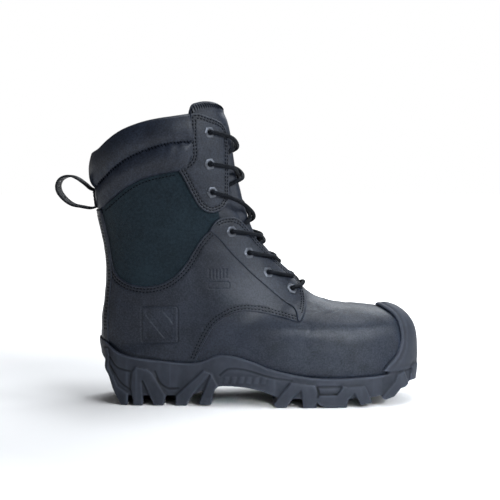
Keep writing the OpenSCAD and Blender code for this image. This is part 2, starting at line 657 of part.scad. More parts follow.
outsole();
midsole();
bottom_filler();
shank();
insole_board();
footbed();
toe_bumper();
steel_toe_cap();
toe_cap_pad();
heel_counter();
ankle_padding();
lining([-150, lining_split_z + seam], [lining_split_x - seam, 300]);  // lining_collar
lining([-150, 0], [lining_split_x - seam, lining_split_z]);  // lining_heel
lining([lining_split_x, 0], [180, 150]);  // lining_forefoot
vamp();
quarter(1);  // quarter_lateral
quarter(-1);  // quarter_medial
side_panel(1);  // side_panel_lateral
side_panel(-1);  // side_panel_medial
lower_eyestay(1);  // lower_eyestay_lateral
lower_eyestay(-1);  // lower_eyestay_medial
upper_eyestay(1);  // upper_eyestay_lateral
upper_eyestay(-1);  // upper_eyestay_medial
collar_roll_lower();
collar_roll_upper();
backstay();
tongue();
gusset(1);  // gusset_lateral
gusset(-1);  // gusset_medial
eyelets(0, 3);  // eyelets_lower
eyelets(4, 6);  // eyelets_upper
lace();
aglets();
loop_anchor();
pull_loop();
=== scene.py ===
import math
import random

import bmesh
import bpy
import numpy as np
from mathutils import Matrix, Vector, kdtree, noise
from mathutils.bvhtree import BVHTree
from mathutils.geometry import delaunay_2d_cdt


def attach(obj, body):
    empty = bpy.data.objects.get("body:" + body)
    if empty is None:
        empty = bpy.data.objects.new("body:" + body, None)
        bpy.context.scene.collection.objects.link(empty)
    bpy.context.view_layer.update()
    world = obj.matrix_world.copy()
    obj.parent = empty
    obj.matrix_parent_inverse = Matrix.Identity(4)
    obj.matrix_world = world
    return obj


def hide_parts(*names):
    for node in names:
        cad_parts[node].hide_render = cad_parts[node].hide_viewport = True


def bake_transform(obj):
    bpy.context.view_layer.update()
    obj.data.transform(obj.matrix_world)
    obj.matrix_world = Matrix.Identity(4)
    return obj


# A laced leather work boot with a steel toe cap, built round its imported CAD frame.
# Shape code works in millimetres, and meshes are scaled to metres as they are made.
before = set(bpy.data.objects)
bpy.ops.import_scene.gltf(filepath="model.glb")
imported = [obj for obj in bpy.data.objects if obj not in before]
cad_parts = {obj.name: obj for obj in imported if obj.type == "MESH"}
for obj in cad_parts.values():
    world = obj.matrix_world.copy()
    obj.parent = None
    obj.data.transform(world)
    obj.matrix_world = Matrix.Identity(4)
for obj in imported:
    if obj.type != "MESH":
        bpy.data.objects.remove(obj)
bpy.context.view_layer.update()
random.seed(11)

MM = 0.001
BOOT, LOOP = "boot", "loop"

# ---------- camera ----------
scene = bpy.context.scene
camera = bpy.data.objects.new("camera", bpy.data.cameras.new("camera"))
scene.collection.objects.link(camera)
camera.location = (0.0126, -1.3, 0.24)
camera.rotation_euler = (math.radians(90 - 4.23), 0, 0)
camera.data.sensor_width = 36
camera.data.lens = 96.5
camera.data.clip_end = 50
scene.camera = camera


# ---------- node helpers ----------
class Shader:
    """One procedural material: a Principled shader and short calls for the nodes before it."""

    def __init__(self, name, **values):
        self.material = bpy.data.materials.new(name)
        self.material.use_nodes = True
        self.tree = self.material.node_tree
        self.bsdf = self.tree.nodes["Principled BSDF"]
        for socket, value in values.items():
            self.bsdf.inputs[socket.replace("_", " ")].default_value = value
        coord = self.tree.nodes.new("ShaderNodeTexCoord")
        self.place, self.uv = coord.outputs["Object"], coord.outputs["UV"]

    def add(self, kind, out=0, props=None, **inputs):
        """A new node's output; an input is named, or numbered as in _0."""
        node = self.tree.nodes.new("ShaderNode" + kind)
        for key, value in (props or {}).items():
            setattr(node, key, value)
        for key, value in inputs.items():
            socket = node.inputs[int(key[1:]) if key[0] == "_" else key.replace("_", " ")]
            if isinstance(value, bpy.types.NodeSocket):
                self.tree.links.new(value, socket)
            else:
                socket.default_value = value
        return node.outputs[out]

    def noise(self, scale, detail=4.0, rough=0.55, stretch=None):
        where = self.add("Mapping", Vector=self.place, Scale=stretch) if stretch else self.place
        return self.add("TexNoise", Vector=where, Scale=scale, Detail=detail, Roughness=rough)

    def cells(self, scale, feature="SMOOTH_F1"):
        return self.add("TexVoronoi", out="Distance", props={"feature": feature},
                        Vector=self.place, Scale=scale)

    def mark(self, name):
        """A mark that new_object() or mark_ridges() wrote on the mesh."""
        return self.add("Attribute", out="Fac", props={"attribute_name": name})

    def uv_parts(self):
        parts = self.tree.nodes.new("ShaderNodeSeparateXYZ")
        self.tree.links.new(self.uv, parts.inputs[0])
        return parts.outputs[0], parts.outputs[1]

    def math(self, operation, a, b=0.0, c=0.0):
        return self.add("Math", props={"operation": operation}, _0=a, _1=b, _2=c)

    def total(self, *terms):
        """The weighted sum of (value, weight) pairs."""
        result = 0.0
        for value, weight in terms:
            result = self.math("MULTIPLY_ADD", value, weight, result)
        return result

    def spread(self, value, low, high, to_low=0.0, to_high=1.0):
        return self.add("MapRange", Value=value, From_Min=low, From_Max=high,
                        To_Min=to_low, To_Max=to_high)

    def blend(self, share, a, b):
        return self.add("Mix", out=2, props={"data_type": "RGBA"}, _0=share, _6=a, _7=b)

    def tones(self, value, low, high, dark, light):
        """From dark to light as the value goes from low to high."""
        return self.blend(self.spread(value, low, high), rgb(*dark), rgb(*light))

    def colour(self, socket):
        self.tree.links.new(socket, self.bsdf.inputs["Base Color"])

    def roughness(self, socket):
        self.tree.links.new(socket, self.bsdf.inputs["Roughness"])

    def bump(self, height, distance, strength=1.0, before=None):
        inputs = {"Normal": before} if before else {}
        normal = self.add("Bump", Height=height, Distance=distance, Strength=strength, **inputs)
        self.tree.links.new(normal, self.bsdf.inputs["Normal"])
        return normal


def rgb(r, g, b):
    return (r, g, b, 1.0)


def leather(name, dark, light, grain=1150.0, gloss=0.46):
    wear, seam_shade = 0.35, 0.35
    s = Shader(name, Specular_IOR_Level=0.27, Coat_Weight=0.03, Coat_Roughness=0.3)
    mottle = s.total((s.noise(30, 4, 0.6), 0.3), (s.noise(650, 4, 0.78), 0.7))
    base = s.tones(mottle, 0.42, 0.59, dark, light)
    scuff = s.math("MULTIPLY", s.mark("edge"), s.spread(s.noise(160, 4, 0.7), 0.4, 0.7))
    worn, painted_shade = rgb(*[c * 2.1 + 0.018 for c in light]), rgb(*[c * 0.25 for c in dark])
    rubbed = s.blend(s.math("MULTIPLY", scuff, wear), base, worn)
    # painted shade in the sewn grooves, blended in by the sewn mark
    s.colour(s.blend(s.math("MULTIPLY", s.mark("sewn"), seam_shade), rubbed, painted_shade))
    s.roughness(s.spread(mottle, 0.3, 0.7, gloss + 0.1, gloss - 0.08))
    pores = s.spread(s.cells(grain * 0.45, "DISTANCE_TO_EDGE"), 0.0, 0.09)
    height = s.total((s.cells(grain), 0.5), (s.noise(330, 6, 0.68), 0.8))
    s.bump(pores, 0.00008, 0.45, s.bump(height, 0.00022, 0.55))
    return s.material


def woven(name, dark, light, pitch, depth, rough=0.7):
    """Plain weave on the piece's own UV map, in millimetres."""
    s = Shader(name, Specular_IOR_Level=0.14, Sheen_Weight=0.04, Sheen_Roughness=0.45,
               Roughness=rough)
    across, along = [s.math("SINE", s.math("MULTIPLY", part, math.pi / pitch))
                     for part in s.uv_parts()]
    upper = s.math("GREATER_THAN", s.math("MULTIPLY", across, along), 0.0)
    warp = s.math("MULTIPLY", upper, s.math("ABSOLUTE", across))
    weft = s.math("MULTIPLY", s.math("SUBTRACT", 1.0, upper), s.math("ABSOLUTE", along))
    height = s.math("ADD", warp, weft)
    share = s.total((height, 0.35), (s.noise(34, 4, 0.6), 0.3), (s.noise(430, 3, 0.8), 0.75))
    s.colour(s.tones(share, 0.62, 0.88, dark, light))
    s.bump(s.noise(900, 3, 0.6), depth * 0.3, 0.5, s.bump(height, depth))
    return s.material


def rubber(name, dark, light, rough=0.62, texture=1.0):
    """Moulded rubber, with a painted highlight on ridges and painted shade in grooves."""
    s = Shader(name, Specular_IOR_Level=0.24)
    dust, ridge = s.noise(240, 5, 0.65), s.mark("ridge")
    share = s.total((s.noise(40, 5, 0.6), 0.6), (dust, 0.4))
    base = s.tones(share, 0.36, 0.68, dark, light)
    # the ridge mark paints a highlight on ridges and shade in grooves
    painted_highlight, painted_shade = rgb(*[c * 2.0 for c in light]), rgb(*[c * 0.22 for c in dark])
    base = s.blend(s.spread(ridge, 0.0, 1.0), base, painted_highlight)
    s.colour(s.blend(s.spread(ridge, 0.0, -1.0), base, painted_shade))
    s.roughness(s.spread(dust, 0.3, 0.7, rough - 0.07, rough + 0.08))
    first = s.bump(s.noise(1400, 3, 0.6), 0.00010 * texture, 0.5)
    s.bump(s.noise(210, 4, 0.55), 0.00022 * texture, 0.35, first)
    return s.material


def cloth_mat(name, dark, light, scale=1500.0, depth=0.0002, sheen=0.25):
    s = Shader(name, Specular_IOR_Level=sheen, Sheen_Weight=sheen, Roughness=0.85)
    loops = s.cells(scale)
    share = s.total((loops, 0.5), (s.noise(45, 4, 0.6), 0.6))
    s.colour(s.tones(share, 0.25, 0.85, dark, light))
    s.bump(loops, depth, 0.7)
    return s.material


def metal(name, dark, light, rough, metallic=1.0, brushed=(1, 1, 1)):
    s = Shader(name, Metallic=metallic)
    tone = s.noise(120, 5, 0.6, brushed)
    s.colour(s.tones(tone, 0.35, 0.65, dark, light))
    s.roughness(s.spread(tone, 0.3, 0.7, rough - 0.06, rough + 0.1))
    s.bump(s.noise(700, 3, 0.6, brushed), 0.00005, 0.4)
    return s.material


def grainy(name, dark, light, scale, rough):
    """Pressed cork, fibre board, foam or moulded plastic."""
    s = Shader(name, Specular_IOR_Level=0.35)
    grain, tone = s.cells(scale), s.noise(scale * 0.2, 5, 0.6)
    s.colour(s.tones(s.total((grain, 0.5), (tone, 0.6)), 0.25, 0.85, dark, light))
    s.roughness(s.spread(tone, 0.3, 0.7, rough - 0.06, rough + 0.06))
    s.bump(grain, 0.0002, 0.6)
    return s.material


LEATHER = leather("leather", (0.0020, 0.0038, 0.0085), (0.0145, 0.0200, 0.0330))
ROLL_LEATHER = leather("roll_leather", (0.0024, 0.0042, 0.0092),
                       (0.0145, 0.0198, 0.0330), 1000.0, 0.42)
NYLON = woven("nylon_cloth", (0.0010, 0.0045, 0.0085), (0.0120, 0.0250, 0.0350), 0.62, 0.00022)
WEBBING = woven("webbing", (0.003, 0.004, 0.006), (0.016, 0.018, 0.023), 1.1, 0.0004, rough=0.6)
SOLE = rubber("sole_rubber", (0.0105, 0.0130, 0.0200), (0.0250, 0.0295, 0.0410))
MIDSOLE = rubber("midsole_foam", (0.028, 0.03, 0.035), (0.05, 0.054, 0.062), 0.75, 1.3)
LINING = cloth_mat("lining_cloth", (0.030, 0.033, 0.038), (0.085, 0.09, 0.10))
FOOTBED = cloth_mat("footbed_cloth", (0.028, 0.03, 0.034), (0.07, 0.075, 0.085), 1200.0)
STEEL = metal("steel", (0.42, 0.43, 0.44), (0.62, 0.63, 0.64), 0.35, brushed=(1, 12, 1))
EYELET = metal("eyelet_metal", (0.040, 0.044, 0.054), (0.105, 0.114, 0.132), 0.36, 0.8)
THREAD = cloth_mat("thread", (0.0015, 0.0022, 0.0040), (0.0040, 0.0052, 0.0080), 2600.0, 0.0001,
                   0.02)
AGLET = grainy("aglet_plastic", (0.02, 0.021, 0.024), (0.045, 0.047, 0.052), 500, 0.35)
CORK = grainy("filler_cork", (0.25, 0.15, 0.08), (0.52, 0.36, 0.21), 700, 0.85)
BOARD = grainy("board_fibre", (0.10, 0.092, 0.08), (0.17, 0.155, 0.13), 1300, 0.85)
FOAM = grainy("foam", (0.10, 0.10, 0.09), (0.17, 0.17, 0.15), 1600, 0.9)
COUNTER = grainy("counter_board", (0.2, 0.21, 0.22), (0.33, 0.34, 0.35), 1200, 0.7)


def lace_material():
    """Two sets of crossing ridges, from UV: mm along the cord and the share of the way round."""
    s = Shader("lace_cord", Specular_IOR_Level=0.10, Roughness=0.7)
    along, round_it = s.uv_parts()
    slope, turn = s.math("MULTIPLY", along, 4.2), s.math("MULTIPLY", round_it, 8 * math.pi)
    ridges = [s.math("SINE", s.math(way, slope, turn)) for way in ("ADD", "SUBTRACT")]
    braid = s.math("MAXIMUM", *ridges)
    share = s.math("ADD", s.math("MULTIPLY", braid, 0.3), s.noise(150, 4, 0.6))
    s.colour(s.tones(share, 0.25, 0.95, (0.0012, 0.0018, 0.0032), (0.0080, 0.0100, 0.0145)))
    s.bump(braid, 0.0003, 0.9)
    return s.material


LACE = lace_material()

# ---------- the surface of the upper ----------
FRONT = np.array([
    [-18, 296], [-11.5, 276], [-5.5, 256], [-1.5, 232], [4, 208], [11.5, 183],
    [22, 159], [36.5, 137.5], [51, 122], [63, 109.5], [72, 101.5], [79, 98],
    [86, 96], [94, 94], [103, 92.5], [114, 91.2], [127, 90], [141, 88],
    [154, 83.5], [163.5, 76], [169, 66], [171, 53]], float)
BACK = np.array([
    [-138.5, 262], [-137.5, 240], [-137.5, 221], [-136, 203], [-133.5, 184],
    [-129.5, 164], [-125.5, 143], [-124.3, 121], [-126, 98], [-128.5, 74],
    [-127.5, 53], [-118, 38], [-90, 33.5], [-45, 33], [5, 29], [55, 23],
    [100, 20.5], [131, 22], [151, 23.5], [162, 25.5], [168, 29], [170.6, 37]], float)
BALL_X, TOE_X = 85, 171
BALL_HW, HEEL_HW, ANKLE_HW, COLLAR_HW = 54, 37, 39.5, 46
LAST_T = 20.98


def mix(a, b, k):
    return a + (b - a) * k


def ease(e0, e1, x):
    """0 below e0 and 1 above e1, with a smooth step between."""
    k = np.clip((np.asarray(x, float) - e0) / (e1 - e0), 0, 1)
    return k * k * (3 - 2 * k)


def unit(v):
    return v / np.linalg.norm(v, axis=-1, keepdims=True)


def run_length(points):
    """Distance along a row of points, 0 at the first."""
    return np.concatenate([[0], np.cumsum(np.linalg.norm(np.diff(points, axis=0), axis=1))])


def at_length(s, along, table):
    """The rows of a table at distances s, where along holds the distance of each row."""
    return np.stack([np.interp(s, along, column) for column in table.T], -1)


def mirrored(q):
    """A half outline closed by its mirror image over the centre line."""
    return np.concatenate([q, q[::-1] * [1, -1]])


def spline(points, t):
    points = np.asarray(points, float)
    t = np.asarray(t, float)
    n = len(points)
    i = np.clip(np.floor(t).astype(int), 0, n - 2)
    u = (t - i)[..., None]
    a, b, c, d = (points[np.clip(i + k, 0, n - 1)] for k in (-1, 0, 1, 2))
    return b + 0.5 * u * ((c - a) + u * ((2 * a - 5 * b + 4 * c - d) + u * (3 * (b - c) + d - a)))


def smooth(points, step=0.25):
    points = np.asarray(points, float)
    return spline(points, np.arange(0, len(points) - 1 + 1e-9, step))


def round_end(k, p, q):
    return np.maximum(0, 1 - np.maximum(0, k) ** p) ** (1 / q)


def foot_hw(x):
    return mix(HEEL_HW, BALL_HW, ease(-80, BALL_X, x)) * round_end(
        (x - BALL_X) / (TOE_X - BALL_X), 2.6, 2.2)


def half_width(x, z):
    return mix(foot_hw(x), mix(ANKLE_HW, COLLAR_HW, ease(110, 250, z)), ease(65, 140, z))


def midline(x):
    return 7 * (ease(0, 165, x) - 0.5)


def surf(t, a, off=0.0):
    """Point at station t and angle a in degrees, 0 at the front and 90 on the outer side."""
    t, a, off = np.broadcast_arrays(*(np.asarray(v, float) for v in (t, a, off)))
    f, k = spline(FRONT, t), spline(BACK, t)
    h, m = (k - f) / 2, (k + f) / 2
    length = np.linalg.norm(h, axis=-1)
    c = -np.cos(np.radians(a))
    q = m + h * c[..., None]
    p = m + h * (c * np.maximum(0.5, length + off) / length)[..., None]
    top = mix(2.1, 2.6, ease(10, 15, t))
    bottom = mix(mix(2.3, 3.4, ease(5, 9, t)), 10, ease(10, 12.5, t))
    power = np.where(c < 0, top, bottom)
    e = np.maximum(0, 1 - np.abs(c) ** power) ** (1 / power)
    w = np.maximum(0.3, half_width(q[..., 0], q[..., 1]) + off) * e
    return np.stack([p[..., 0] + off * ease(17, 20.5, t),
                     midline(q[..., 0]) - np.sign(np.sin(np.radians(a))) * w, p[..., 1]], -1)


def station(p):
    """Station of the point of the outer side that is seen at p = [x, z]."""
    p = np.asarray(p, float)
    lo, hi = np.zeros(p.shape[:-1]), np.full(p.shape[:-1], 20.97)
    for _ in range(26):
        m = (lo + hi) / 2
        f, k = spline(FRONT, m), spline(BACK, m)
        d, v = k - f, p - f
        above = d[..., 0] * v[..., 1] - d[..., 1] * v[..., 0] < 0
        hi, lo = np.where(above, m, hi), np.where(above, lo, m)
    return (lo + hi) / 2


def angle_at(t, p):
    f, k = spline(FRONT, t), spline(BACK, t)
    d, v = k - f, np.asarray(p, float) - f
    c = 1 - 2 * (v * d).sum(-1) / (d * d).sum(-1)
    return np.degrees(np.arccos(np.clip(c, -1, 1)))


# Arc length round each station from the front line, and the angle at each share of it
ROWS, ANGLES, SHARES = np.linspace(0, LAST_T, 211), np.linspace(0, 180, 721), np.linspace(0, 1, 361)
_grid = surf(ROWS[:, None], ANGLES[None, :] * 0.99999 + 0.0004)
_steps = np.linalg.norm(np.diff(_grid, axis=1), axis=-1)
ARC = np.concatenate([np.zeros((len(ROWS), 1)), np.cumsum(_steps, axis=1)], axis=1)
HALF_ROUND = ARC[:, -1]
INVERSE = np.array([np.interp(SHARES, ARC[i] / ARC[i, -1], ANGLES) for i in range(len(ROWS))])


def table_at(table, t, k, columns):
    """Bilinear value of a table of ROWS x columns."""
    r = np.clip(t / LAST_T * (len(ROWS) - 1), 0, len(ROWS) - 1.0001)
    c = np.clip(k / columns[-1] * (len(columns) - 1), 0, len(columns) - 1.0001)
    i, j = r.astype(int), c.astype(int)
    u, v = r - i, c - j
    return ((table[i, j] * (1 - v) + table[i, j + 1] * v) * (1 - u)
            + (table[i + 1, j] * (1 - v) + table[i + 1, j + 1] * v) * u)


def half_round(t):
    return np.interp(t, ROWS, HALF_ROUND)


class Chart:
    """Coordinates (t, v) of the upper: v is the arc length in mm from the front line, or
    from the back line, positive on the outer side."""

    def __init__(self, back=False):
        self.back = back
        self.sign = -1 if back else 1

    def angle(self, q):
        t, v = q[..., 0], q[..., 1]
        k = np.clip(np.abs(v) / half_round(t), 0, 1)
        k = 1 - k if self.back else k
        side = np.where(v < 0, -1, 1)
        return side * np.clip(table_at(INVERSE, t, k, SHARES), 1e-4, 180 - 1e-4)

    def point(self, q):
        return surf(q[..., 0], self.angle(q), 0.0)

    def from_side(self, p, side=1):
        """Chart coordinates of the surface point seen at [x, z]."""
        t = station(p)
        a = angle_at(t, p)
        v = table_at(ARC, t, a, ANGLES)
        v = half_round(t) - v if self.back else v
        return np.stack([t, side * v], -1)

    def slopes(self, q):
        dt, dv = np.array([0.02, 0]), np.array([0, 0.35])
        return ((self.point(q + dt) - self.point(q - dt)) / 0.04,
                (self.point(q + dv) - self.point(q - dv)) / 0.7)

    def normal(self, q):
        st, sv = self.slopes(q)
        return unit(np.cross(sv, st) * self.sign)


FRONT_CHART, BACK_CHART = Chart(), Chart(True)


# ---------- meshes ----------
def new_object(name, verts, faces, material, uv=None, marks=None):
    """A smooth-shaded mesh from millimetres; marks are numbers per point for the shader."""
    mesh = bpy.data.meshes.new(name)
    mesh.from_pydata((np.asarray(verts) * MM).tolist(), [], [list(map(int, f)) for f in faces])
    mesh.validate()
    if uv is not None:
        layer = mesh.uv_layers.new(name="mm")
        loops = np.zeros(len(mesh.loops), int)
        mesh.loops.foreach_get("vertex_index", loops)
        layer.data.foreach_set("uv", np.asarray(uv, float)[loops].ravel())
    for key, values in (marks or {}).items():
        mesh.attributes.new(key, "FLOAT", "POINT").data.foreach_set("value", list(values))
    obj = bpy.data.objects.new(name, mesh)
    scene.collection.objects.link(obj)
    return surfaced(obj, material)


def surfaced(obj, material):
    """The object smooth shaded, with this material only."""
    obj.data.materials.clear()
    obj.data.materials.append(material)
    obj.data.polygons.foreach_set("use_smooth", [True] * len(obj.data.polygons))
    return obj


def with_bmesh(obj, change):
    bm = bmesh.new()
    bm.from_mesh(obj.data)
    change(bm)
    bm.to_mesh(obj.data)
    bm.free()
    return obj


def face_outwards(obj):
    return with_bmesh(obj, lambda bm: bmesh.ops.recalc_face_normals(bm, faces=bm.faces))


def sleeve(start, rings, sides):
    """Faces round rings of points numbered from start, with a face over each end."""
    faces = [(u + s, u + (s + 1) % sides, u + sides + (s + 1) % sides, u + sides + s)
             for u in range(start, start + (rings - 1) * sides, sides) for s in range(sides)]
    last = start + (rings - 1) * sides
    return faces + [tuple(range(start, start + sides))[::-1], tuple(range(last, last + sides))]


def piece(obj, nodes=(), body=BOOT):
    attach(obj, body)
    if nodes:
        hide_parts(*nodes)
    return obj


def inside_loop(points, loop):
    inside = np.zeros(len(points), bool)
    x, y = points[:, 0], points[:, 1]
    for (ax, ay), (bx, by) in zip(loop, np.roll(loop, -1, axis=0)):
        if ay != by:
            crosses = (ay > y) != (by > y)
            inside ^= crosses & (x < (bx - ax) * (y - ay) / (by - ay) + ax)
    return inside


def resample(chart, loop, spacing):
    """Points at even spacing along a closed loop of chart coordinates."""
    dense = np.concatenate([mix(a, b, np.linspace(0, 1, 12, endpoint=False)[:, None])
                            for a, b in zip(loop, np.roll(loop, -1, axis=0))])
    closed = np.concatenate([dense, dense[:1]])
    along = run_length(chart.point(closed))
    count = max(12, int(round(along[-1] / spacing)))
    return at_length(np.linspace(0, along[-1], count, endpoint=False), along, closed)


def tree_of(points):
    tree = kdtree.KDTree(len(points))
    for i, p in enumerate(points):
        tree.insert(p, i)
    tree.balance()
    return tree


def distances(points, tree):
    return np.array([tree.find(p)[2] for p in points])


def inset(chart, q, sign, d):
    """The loop q moved d mm inwards over the surface."""
    q = q.copy()
    for _ in range(2):
        p = chart.point(q)
        tangent = unit(np.roll(p, -1, axis=0) - np.roll(p, 1, axis=0))
        n = chart.normal(q)
        inward = np.cross(n, tangent) * sign * d / 2
        st, sv = chart.slopes(q)
        g11, g12, g22 = (st * st).sum(1), (st * sv).sum(1), (sv * sv).sum(1)
        r1, r2 = (st * inward).sum(1), (sv * inward).sum(1)
        det = np.maximum(g11 * g22 - g12 * g12, 1e-9)
        q = q + np.stack([(g22 * r1 - g12 * r2) / det, (g11 * r2 - g12 * r1) / det], -1)
    return q


def turning(chart, loop):
    x, y = loop[:, 1] * chart.sign, loop[:, 0]
    return 1 if (x * np.roll(y, -1) - np.roll(x, -1) * y).sum() > 0 else -1


EDGE = ((0, -0.75), (0.18, -0.4), (0.5, -0.1), (1.1, 0.0))
SOFT_EDGE = ((0, -1.0), (0.4, -0.55), (1.0, -0.2), (2.0, 0.0))


def panel(name, chart, loop, material, height=0.0, thick=1.3, profile=EDGE, grooves=(),
          groove_depth=0.42, grid=2.4, detail=None, dense=(), weld=False, spacing=1.4, sewn=None):
    """A sheet of leather, cloth or rubber on the surface, cut to a loop of the chart."""
    outline = resample(chart, np.asarray(loop, float), spacing)
    sign = turning(chart, outline)
    at_tip = lambda q: weld & (q[..., 0] > LAST_T - 0.03)
    welded = at_tip(outline)
    tree = tree_of(chart.point(outline)[~welded])

    # Rings of points inside the outline, for the edge's profile and the sewn grooves
    rings = sorted({d for d, _ in profile[1:]} | {g + k for g in grooves for k in (-0.6, 0, 0.6)})
    q, d = [outline], [np.zeros(len(outline))]
    for ring in rings:
        inner = inset(chart, outline, sign, ring)
        inner = inner[inside_loop(inner, outline) & ~welded & (inner[:, 0] < LAST_T)]
        near = distances(chart.point(inner), tree)
        q.append(inner[near > ring * 0.97])
        d.append(np.full(len(q[-1]), ring))

    # A lattice of points over the rest, evenly spaced along the surface
    lo, hi = outline.min(0), outline.max(0)
    fine = np.linspace(lo[0], hi[0], 400)
    speed = sum(np.linalg.norm(np.gradient(spline(line, fine), fine, axis=0), axis=1)
                for line in (FRONT, BACK)) / 2
    length = np.concatenate([[0], np.cumsum((speed[1:] + speed[:-1]) / 2 * np.diff(fine))])

    def lattice(step, low, high):
        rows = np.interp(np.arange(0, length[-1], step * 0.87), length, fine)
        rows = rows[(rows > low[0]) & (rows < high[0])]
        cells = [np.stack([np.full(len(v), t), v], -1) for i, t in enumerate(rows)
                 for v in [np.arange(low[1] + (i % 2) * step / 2, high[1], step)]]
        return np.concatenate(cells)

    inner = lattice(grid, lo, hi)
    for low, high, step in dense:
        keep = ~((inner > low) & (inner < high)).all(1)
        inner = np.concatenate([inner[keep], lattice(step, low, high)])
    inner = inner[inside_loop(inner, outline)]
    near = distances(chart.point(inner), tree)
    keep = near > rings[-1] + 0.45 * min(grid, 2.4)
    q, d = np.concatenate(q + [inner[keep]]), np.concatenate(d + [near[keep]])

    # The triangles between them, without those outside the outline
    scale = np.array([speed.mean(), 1.0])
    count = len(outline)
    edges = [(i, (i + 1) % count) for i in range(count)]
    made = delaunay_2d_cdt([Vector(p) for p in q * scale], edges, [], 0, 1e-6)
    flat, tris = np.array([tuple(v) for v in made[0]]), np.array(made[2])
    first = np.array([s[0] if s else -1 for s in made[3]])
    if (first < 0).any():
        raise RuntimeError(name + ": the outline crosses itself")
    tris = tris[inside_loop(flat[tris].mean(1), outline * scale)]
    used = np.unique(tris)
    renumber = -np.ones(len(first), int)
    renumber[used] = np.arange(len(used))
    back_to = {int(s): i for i, s in enumerate(first)}
    border = [renumber[back_to[i]] for i in range(count)]
    q, d, tris = q[first][used], d[first][used], renumber[tris]

    base, normal = chart.point(q), chart.normal(q)
    rise = np.interp(d, *zip(*profile))
    held = sewn(base) if sewn else np.ones(len(q))
    for g in grooves:
        rise = rise - held * groove_depth * np.exp(-((d - g) / 0.45) ** 2)
    level = height(base) if callable(height) else np.full(len(q), float(height))
    top = level + rise + (detail(q, base, d) if detail else 0)
    outer = base + normal * top[:, None]
    under = base + normal * (level - thick)[:, None]
    tip = at_tip(q)
    for part in (outer, under):
        part[tip, 1] = midline(part[tip, 0])
    a, b, c = (outer[tris[:, k]] for k in range(3))
    if np.median((np.cross(b - a, c - a) * normal[tris[:, 0]]).sum(1)) < 0:
        tris = tris[:, ::-1]
    n = len(q)
    border = border if sign > 0 else border[::-1]
    faces = [tuple(t) for t in tris] + [tuple(t[::-1] + n) for t in tris]
    faces += [(j, i, i + n, j + n) for i, j in zip(border, border[1:] + border[:1])
              if not (tip[i] and tip[j])]
    uv = np.stack([q[:, 1], np.interp(q[:, 0], fine, length)], -1)
    # the edge mark is for worn edges; the sewn mark is where the leather shader paints shade in the
    # sewn grooves
    worn, dent = np.exp(-d / 1.1), sum([held * np.exp(-((d - g) / 0.8) ** 2) for g in grooves],
                                       d * 0)
    marks = {"edge": np.append(worn, worn * 0), "sewn": np.append(dent, dent * 0)}
    obj = new_object(name, np.concatenate([outer, under]), faces, material,
                     np.concatenate([uv, uv]), marks)
    if weld:
        with_bmesh(obj, lambda bm: bmesh.ops.remove_doubles(bm, verts=bm.verts, dist=0.0002))
    return obj, outline, sign


# ---------- stitching ----------
STITCH = (2.1, 1.2, 0.55)       # length, gap and radius in mm
QUARTER_SEAM, EDGE_SEAM = (2.6, 5.4), (2.3, 4.7)        # distances inside the cut edge
SEAM_LIFT = 0.12


def stitch_rows(name, rows):
    """Separate stitches along rows of (points, normals) in mm: a rounded bar each."""
    length, gap, radius = STITCH
    sides, ends = 6, ((-0.5, 0.35), (-0.36, 0.9), (0.0, 1.0), (0.36, 0.9), (0.5, 0.35))
    verts, faces = [], []
    for places, normals in rows:
        along = run_length(places)
        at = np.arange(gap, along[-1] - length, length + gap) + length / 2
        if not len(at):
            continue
        centre = at_length(at, along, places)
        ahead = (at_length(at + length / 2, along, places)
                 - at_length(at - length / 2, along, places))
        direct, n = unit(ahead), at_length(at, along, normals)
        n = unit(n - direct * (n * direct).sum(1, keepdims=True))
        across = np.cross(n, direct)
        jitter = [[random.uniform(-0.08, 0.08), random.uniform(-0.05, 0.05)] for _ in at]
        for i, (turn, lift) in enumerate(jitter):
            if np.linalg.norm(ahead[i]) < length * 0.8:
                continue
            faces += sleeve(len(verts), len(ends), sides)
            for x, r in ends:
                mid = centre[i] + direct[i] * x * length + across[i] * (turn * x * 2)
                for w in np.arange(sides) * 2 * math.pi / sides:
                    up = math.sin(w) * radius * 0.9 * r - 0.22 * (1 - r) + 0.1 + lift
                    verts.append(mid + across[i] * math.cos(w) * radius * r + n[i] * up)
    return piece(new_object(name, verts, faces, THREAD))


def row_along(chart, outline, sign, d, keep, height):
    """Parts of the loop d mm inside an outline where keep(points) holds, as stitch rows."""
    q = inset(chart, outline, sign, d)
    base = chart.point(outline)
    ok = keep(base) & inside_loop(q, outline)
    ok &= distances(chart.point(q), tree_of(base)) > d * 0.93
    n = chart.normal(q)
    p = chart.point(q) + n * height
    start = int(np.argmin(ok)) if not ok.all() else 0
    order = [(start + i) % len(q) for i in range(len(q))]
    rows, run = [], []
    for i in order + [order[0]] * bool(ok.all()):
        if ok[i]:
            run.append(i)
        else:
            rows.append(run)
            run = []
    return [(p[r], n[r]) for r in rows + [run] if len(r) > 3]


def seam(name, chart, cut, obj, inside, keep, height):
    """A row of stitches at each distance inside the cut edge, on the object's outer face."""
    rows = [r for d in inside for r in row_along(chart, *cut, d, keep, height)]
    stitch_rows(name, on_skin(rows, obj, SEAM_LIFT))


def on_skin(rows, obj, lift):
    """The rows moved along their normals on to the object's outer face, and lift mm off it."""
    verts = [v.co / MM for v in obj.data.vertices]
    skin = BVHTree.FromPolygons(verts, [tuple(f.vertices) for f in obj.data.polygons])
    laid = []
    for places, normals in rows:
        hits = [skin.ray_cast(Vector(p + n * 9), Vector(-n), 18)[0]
                for p, n in zip(places, normals)]
        where = np.array([p if hit is None else np.array(hit)
                          for p, hit in zip(places, hits)])
        laid.append((where + normals * lift, normals))
    return laid


def fbm(p, scale, octaves=3, seed=0.0):
    """Soft noise at each row of p, features about scale mm across."""
    return np.array([noise.fractal(Vector(v) / scale + Vector((seed, 0, 0)), 0.6, 2.1, octaves,
                                   noise_basis="PERLIN_ORIGINAL") for v in p])


